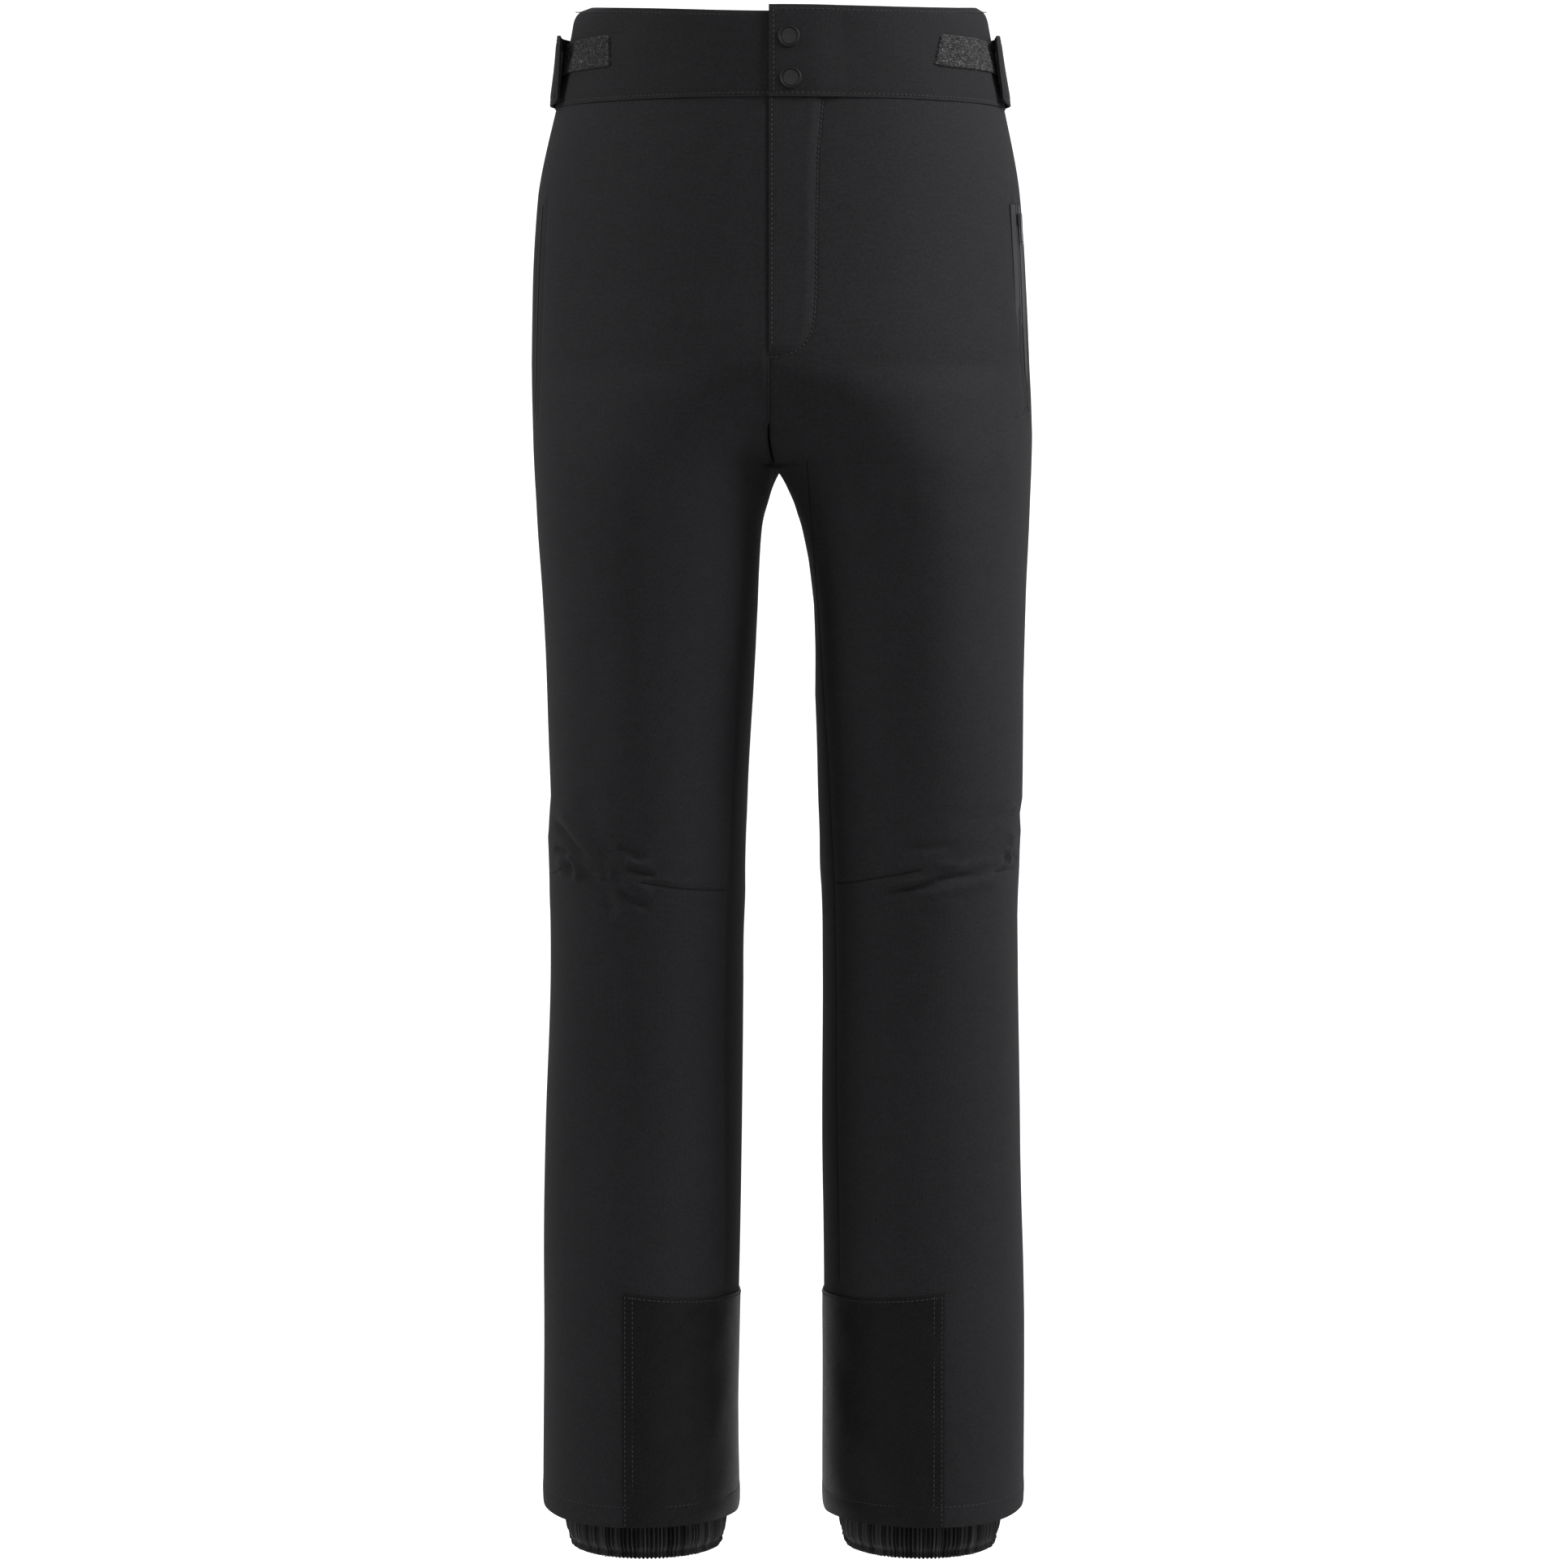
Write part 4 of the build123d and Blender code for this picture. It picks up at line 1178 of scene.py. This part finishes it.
def scuff_guard(side, word):
    """Tough patch round the inner side of the hem, a little puffed between its edges."""
    u = np.linspace(0, 1, 170)[None, :]
    v = np.linspace(0, 1, 62)[:, None]
    z = guard_level(u, v)
    theta = guard_angle(side, z, u)
    dimple = np.sin(z / 15.0 + 9 * u + side) * np.sin(z / 23.0 - 17 * u) + 0.6 * np.sin(z / 9.0 + 25 * u)
    puff = 0.7 * dimple * smooth(0.55, 0.8, u) * smooth(1, 0.95, u) * smooth(0, 0.08, v)
    rim = np.minimum(smooth(0, 0.012, u) * smooth(1, 0.988, u), smooth(0, 0.02, v))
    outer = surface(side, z, theta, GUARD_OUT + puff + 0.35 * rim)
    inner = surface(side, z, theta, 0.1)
    outer, inner, uv = orient([outer, inner, cloth_uv(side, z, theta)], side)
    ob = cloth(f"scuff_guard_cloth_{word}", outer, inner, uv)
    dress(ob, guard_cloth)
    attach(ob, f"{word}_shin")
    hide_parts(f"scuff_guard_{word}")


GAITER_END = -1082.0
GAITER_TOP = -862.0
GATHERS = 118


def gaiter(side, word):
    """Gathered sleeve inside the leg: vertical pleats, sharper and deeper towards the elastic."""
    z = heights(GAITER_TOP, GAITER_END, 2.0)
    zz, theta = np.meshgrid(z, np.linspace(-math.pi, math.pi, GATHERS * 6 + 1), indexing="ij")
    depth = 1.3 * smooth(-930, -1050, zz)
    wander = 0.8 * np.sin(zz / 19.0 + 3 * theta) + 0.5 * np.sin(zz / 7.0 + 11 * theta)
    uneven = 1 + 0.45 * np.sin(theta * 7 + side) * np.sin(theta * 17)
    phase = GATHERS * theta + wander * smooth(-1040, -960, zz)
    pleat = np.sin(phase) * uneven + 0.35 * np.sin(2.3 * phase + 1.7)
    pinch = bell(zz, -1077.5, 1.6)
    belly = 1.2 * bell(zz, -1068, 9.0)
    offset = depth * pleat * (1 - 0.6 * pinch) - 1.1 * pinch + belly
    outer = surface(side, zz, theta, offset, GAITER_SECTIONS, relief=False)
    inner = surface(side, zz, theta, offset - 0.9, GAITER_SECTIONS, relief=False)
    scallop = 0.8 * np.sin(phase) * smooth(-1074, -1082, zz)
    outer[..., 2] += scallop
    inner[..., 2] += scallop
    _, a, _, b = ellipse(GAITER_SECTIONS, zz)
    uv = np.stack([theta * (a + b) / 2, zz], -1)
    outer, inner, uv = orient([outer, inner, uv], side)
    ob = cloth(f"gaiter_{word}", outer, inner, uv, np.ones(len(z), bool))
    dress(ob, gaiter_cloth)
    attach(ob, f"{word}_shin")
    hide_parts(f"gaiter_sleeve_{word}", f"gaiter_casing_{word}", f"gaiter_elastic_{word}")


for side, word in SIDES.items():
    scuff_guard(side, word)
    gaiter(side, word)


# ---- Stitching ----

SEAM_WIDTH = 0.7


def ribbon(name, paths, centre):
    """Fine dark lines of painted shade where two edges of cloth are turned into a seam."""
    verts, faces, base = [], [], 0
    for path in paths:
        path = np.asarray(path)
        along_path = np.gradient(path, axis=0)
        along_path /= np.linalg.norm(along_path, axis=1)[:, None]
        out = path - np.array(centre)
        out[:, 2] = 0
        across = np.cross(along_path, out)
        across /= np.linalg.norm(across, axis=1)[:, None]
        n = len(path)
        taper = np.minimum(1, np.minimum(np.arange(n), np.arange(n)[::-1]) / 3 + 0.2)[:, None]
        verts += [path - across * SEAM_WIDTH / 2 * taper, path + across * SEAM_WIDTH / 2 * taper]
        faces += [(base + i, base + i + 1, base + n + i + 1, base + n + i) for i in range(n - 1)]
        base += 2 * n
    return new_object(name, np.concatenate(verts), faces)


def line_points(side, points, spacing=1.6):
    """Points on the front of a leg through signed (x, z) corners."""
    points = np.array(points, float)
    at = running_length(points)
    fine = np.linspace(0, at[-1], max(4, int(at[-1] / spacing)))
    x, z = np.interp(fine, at, points[:, 0]), np.interp(fine, at, points[:, 1])
    return surface(side, z, angle_at_x(side, z, x), 0.3)


INSEAM_TOP = {1: -318, -1: -372}


def seam_paths(side, top, bottom):
    """Side seam, inseams, centre seams and darts of one piece of cloth."""
    z = heights(top, bottom, 1.6)
    paths = [surface(side, z, 0.02, 0.12)]
    leg = z[(z < INSEAM_TOP[side]) & (z > GUARD_TOP + 2)]
    if len(leg) > 2:
        paths.append(surface(side, leg, angle_at_x(side, leg, at_height(INSEAM[side], leg)), 0.3))
        paths.append(surface(side, leg, math.radians(150), 0.12))
    if top > CROTCH:
        seam = z[z > CROTCH + 8]
        full = widest(SECTIONS, seam, side)
        paths.append(surface(side, seam, full - 0.006, 0.1))
        lower = seam[seam < PLACKET_END + 1]
        paths.append(surface(side, lower, 0.006 - full[seam < PLACKET_END + 1], 0.1))
    for line in DARTS[side] + POCKET_LINES[side]:
        if bottom < line[0][1] < top:
            paths.append(line_points(side, line))
    return paths


for side, word in SIDES.items():
    for part, span, bodies in (
        ("upper", (WAIST_SEAM, SPLIT), ("hips", f"{word}_thigh", *HIP_BLEND)),
        ("lower", (SPLIT, HEM), (f"{word}_thigh", f"{word}_shin", *KNEE_BLEND)),
    ):
        # strips of painted shade along the side seam, inseams, centre seams and darts
        seams = ribbon(f"seams_{part}_{word}", seam_paths(side, *span), leg_centre(side))
        dress(seams, seam_shade)
        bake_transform(seams)


def band_path(gap_from_top=None, gap_from_seam=None):
    """Path round the waistband at a distance from its upper edge or from the seam."""
    side, theta, foot = band_ring(round_waist(120))
    top = foot[:, 1] * WAIST_SLOPE + band_lift(foot[:, 0], foot[:, 0] > OVER_X)
    z = top - gap_from_top if gap_from_seam is None else WAIST_SEAM + gap_from_seam + 0 * top
    return on_band(side, z, theta, np.full(len(theta), 0.6))


def sew(name, paths, centre, slot, *bodies):
    ob = stitches(name, paths, centre)
    dress(ob, thread)
    if len(bodies) == 1:
        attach(ob, bodies[0])
    else:
        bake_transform(ob)


def add_stitches():
    rows = [band_path(gap_from_seam=SEWN_UP), band_path(gap_from_top=SEWN_DOWN)]
    sew("waistband_stitches", rows, TORSO_CENTRE, "waistband_fabric", "hips")
    xs = np.linspace(FLAP_EDGE + 3.2, OVERLAP_START - 9, 40)
    top_z = -107 * WAIST_SLOPE + 2.0
    lines = []
    theta = angle_at_x(1, WAIST_SEAM, xs)
    for z in (WAIST_SEAM + SEWN_UP, top_z - SEWN_DOWN):
        lines.append(surface(1, z, theta, 0.7 + overlap_raise(xs), relief=False))
    z = np.linspace(WAIST_SEAM + 3, top_z - 3, 24)
    theta = angle_at_x(1, WAIST_SEAM, FLAP_EDGE + 3.4)
    lines.append(surface(1, z, theta, 1.0 + OVERLAP_OUT, relief=False))
    sew("overlap_stitches", lines, TORSO_CENTRE, "waistband_fabric", "hips", "front_flap")

    x, z = j_curve()
    below = z < WAIST_SEAM - 1
    j_path = front_point(x[below], z[below], 0.3)
    z = heights(WAIST_SEAM - 1, PLACKET_END + 8, 4)
    edge_path = front_point(FLAP_EDGE + 2.2, z, PLACKET_FOOT + PLACKET_OUT + 0.1)
    sew("fly_stitches", [j_path, edge_path], TORSO_CENTRE, "shell_fabric", "hips", "front_flap")

    for side, word in SIDES.items():
        v = np.linspace(0.012, 1, 60)
        z = guard_level(1.0, v)
        paths = [surface(side, z, angle_at_x(side, z, side * (GUARD_X - inset)), GUARD_OUT + 0.4)
                 for inset in (1.8, 7.0)]
        u = np.linspace(0.02, 0.985, 120)
        z = guard_level(u, 0.014)
        paths.append(surface(side, z, guard_angle(side, z, u), GUARD_OUT + 0.4))
        sew(f"guard_stitches_{word}", paths, leg_centre(side), "guard_fabric", f"{word}_shin")
        theta = np.linspace(-math.pi, math.pi, 240)
        plain = surface(side, HEM + HEM_SEWN, theta, 0, relief=False)
        on_guard = plain[:, 0] * side < GUARD_X
        hem = surface(side, HEM + HEM_SEWN, theta, np.where(on_guard, GUARD_OUT + 0.5, 0.2))
        sew(f"hem_stitches_{word}", [hem], leg_centre(side), "shell_fabric", f"{word}_shin")


add_stitches()


# ---- CAD nodes that show as they are ----

CAD_LOOKS = {"fly_zip_stops": coil_plastic, "snap_sockets": snap_brass, "snap_studs": snap_brass}
for kind, material in (("tapes", tape_cloth), ("coils", coil_plastic), ("slider", zip_paint),
                       ("pull", zip_paint)):
    for node in (f"fly_zip_{kind}", f"pocket_zip_{kind}_left", f"pocket_zip_{kind}_right"):
        CAD_LOOKS[node] = material
for node, material in CAD_LOOKS.items():
    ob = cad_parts[node]
    ob.data.materials.clear()
    ob.data.materials.append(material)


# ---- Studio ----

AREA_LIGHTS = (  # name, place, aim, size in metres, power in watts
    ("right_soft", (1.7, -0.40, 0.95), (0.05, 0, 0.0), (0.6, 1.2), 190),
    ("left_soft", (-1.75, -0.36, 0.95), (-0.05, 0, 0.0), (0.5, 1.2), 92),
    ("front_soft", (0.7, -2.4, 1.5), (0, 0, -0.1), (1.4, 1.0), 28),
)
FLOOR_Z = -1.50
FLOOR_SIZE = 9.0
BACK_Y = 4.5  # the paper starts to curve up here
CURVE = 1.5
PAPER_TOP = 6.0


def area_light(name, place, aim, size, power):
    data = bpy.data.lights.new(name, "AREA")
    data.shape = "RECTANGLE"
    data.size, data.size_y = size
    data.energy = power
    ob = in_scene(name, data)
    ob.location = place
    direction = Vector(aim) - Vector(place)
    ob.rotation_euler = direction.to_track_quat("-Z", "Y").to_euler()


def studio():
    scene = bpy.context.scene
    scene.view_settings.view_transform = "Standard"
    scene.view_settings.look = "None"
    world = bpy.data.worlds.new("studio")
    scene.world = world
    world.use_nodes = True
    background = world.node_tree.nodes["Background"]
    background.inputs["Color"].default_value = (1, 1, 1, 1)
    background.inputs["Strength"].default_value = 1.0
    for light in AREA_LIGHTS:
        area_light(*light)
    profile = [(-FLOOR_SIZE, FLOOR_Z)]
    for t in np.linspace(0, math.pi / 2, 16):
        profile.append((BACK_Y + CURVE * math.sin(t), FLOOR_Z + CURVE - CURVE * math.cos(t)))
    profile.append((BACK_Y + CURVE, PAPER_TOP))
    verts = [(x / MM, y / MM, z / MM) for y, z in profile for x in (-FLOOR_SIZE, FLOOR_SIZE)]
    faces = [(2 * i, 2 * i + 1, 2 * i + 3, 2 * i + 2) for i in range(len(profile) - 1)]
    floor = new_object("floor", verts, faces)
    paper = Nodes("paper")
    where = paper.coordinates("Object")
    tone = paper.noise(where, 2.0)
    paper.feed(paper.ramp(tone, [(0.0, (0.90, 0.90, 0.90)), (1.0, (0.93, 0.93, 0.93))]), "Base Color")
    paper.set(Roughness=0.95)
    floor.data.materials.append(paper.material)


studio()
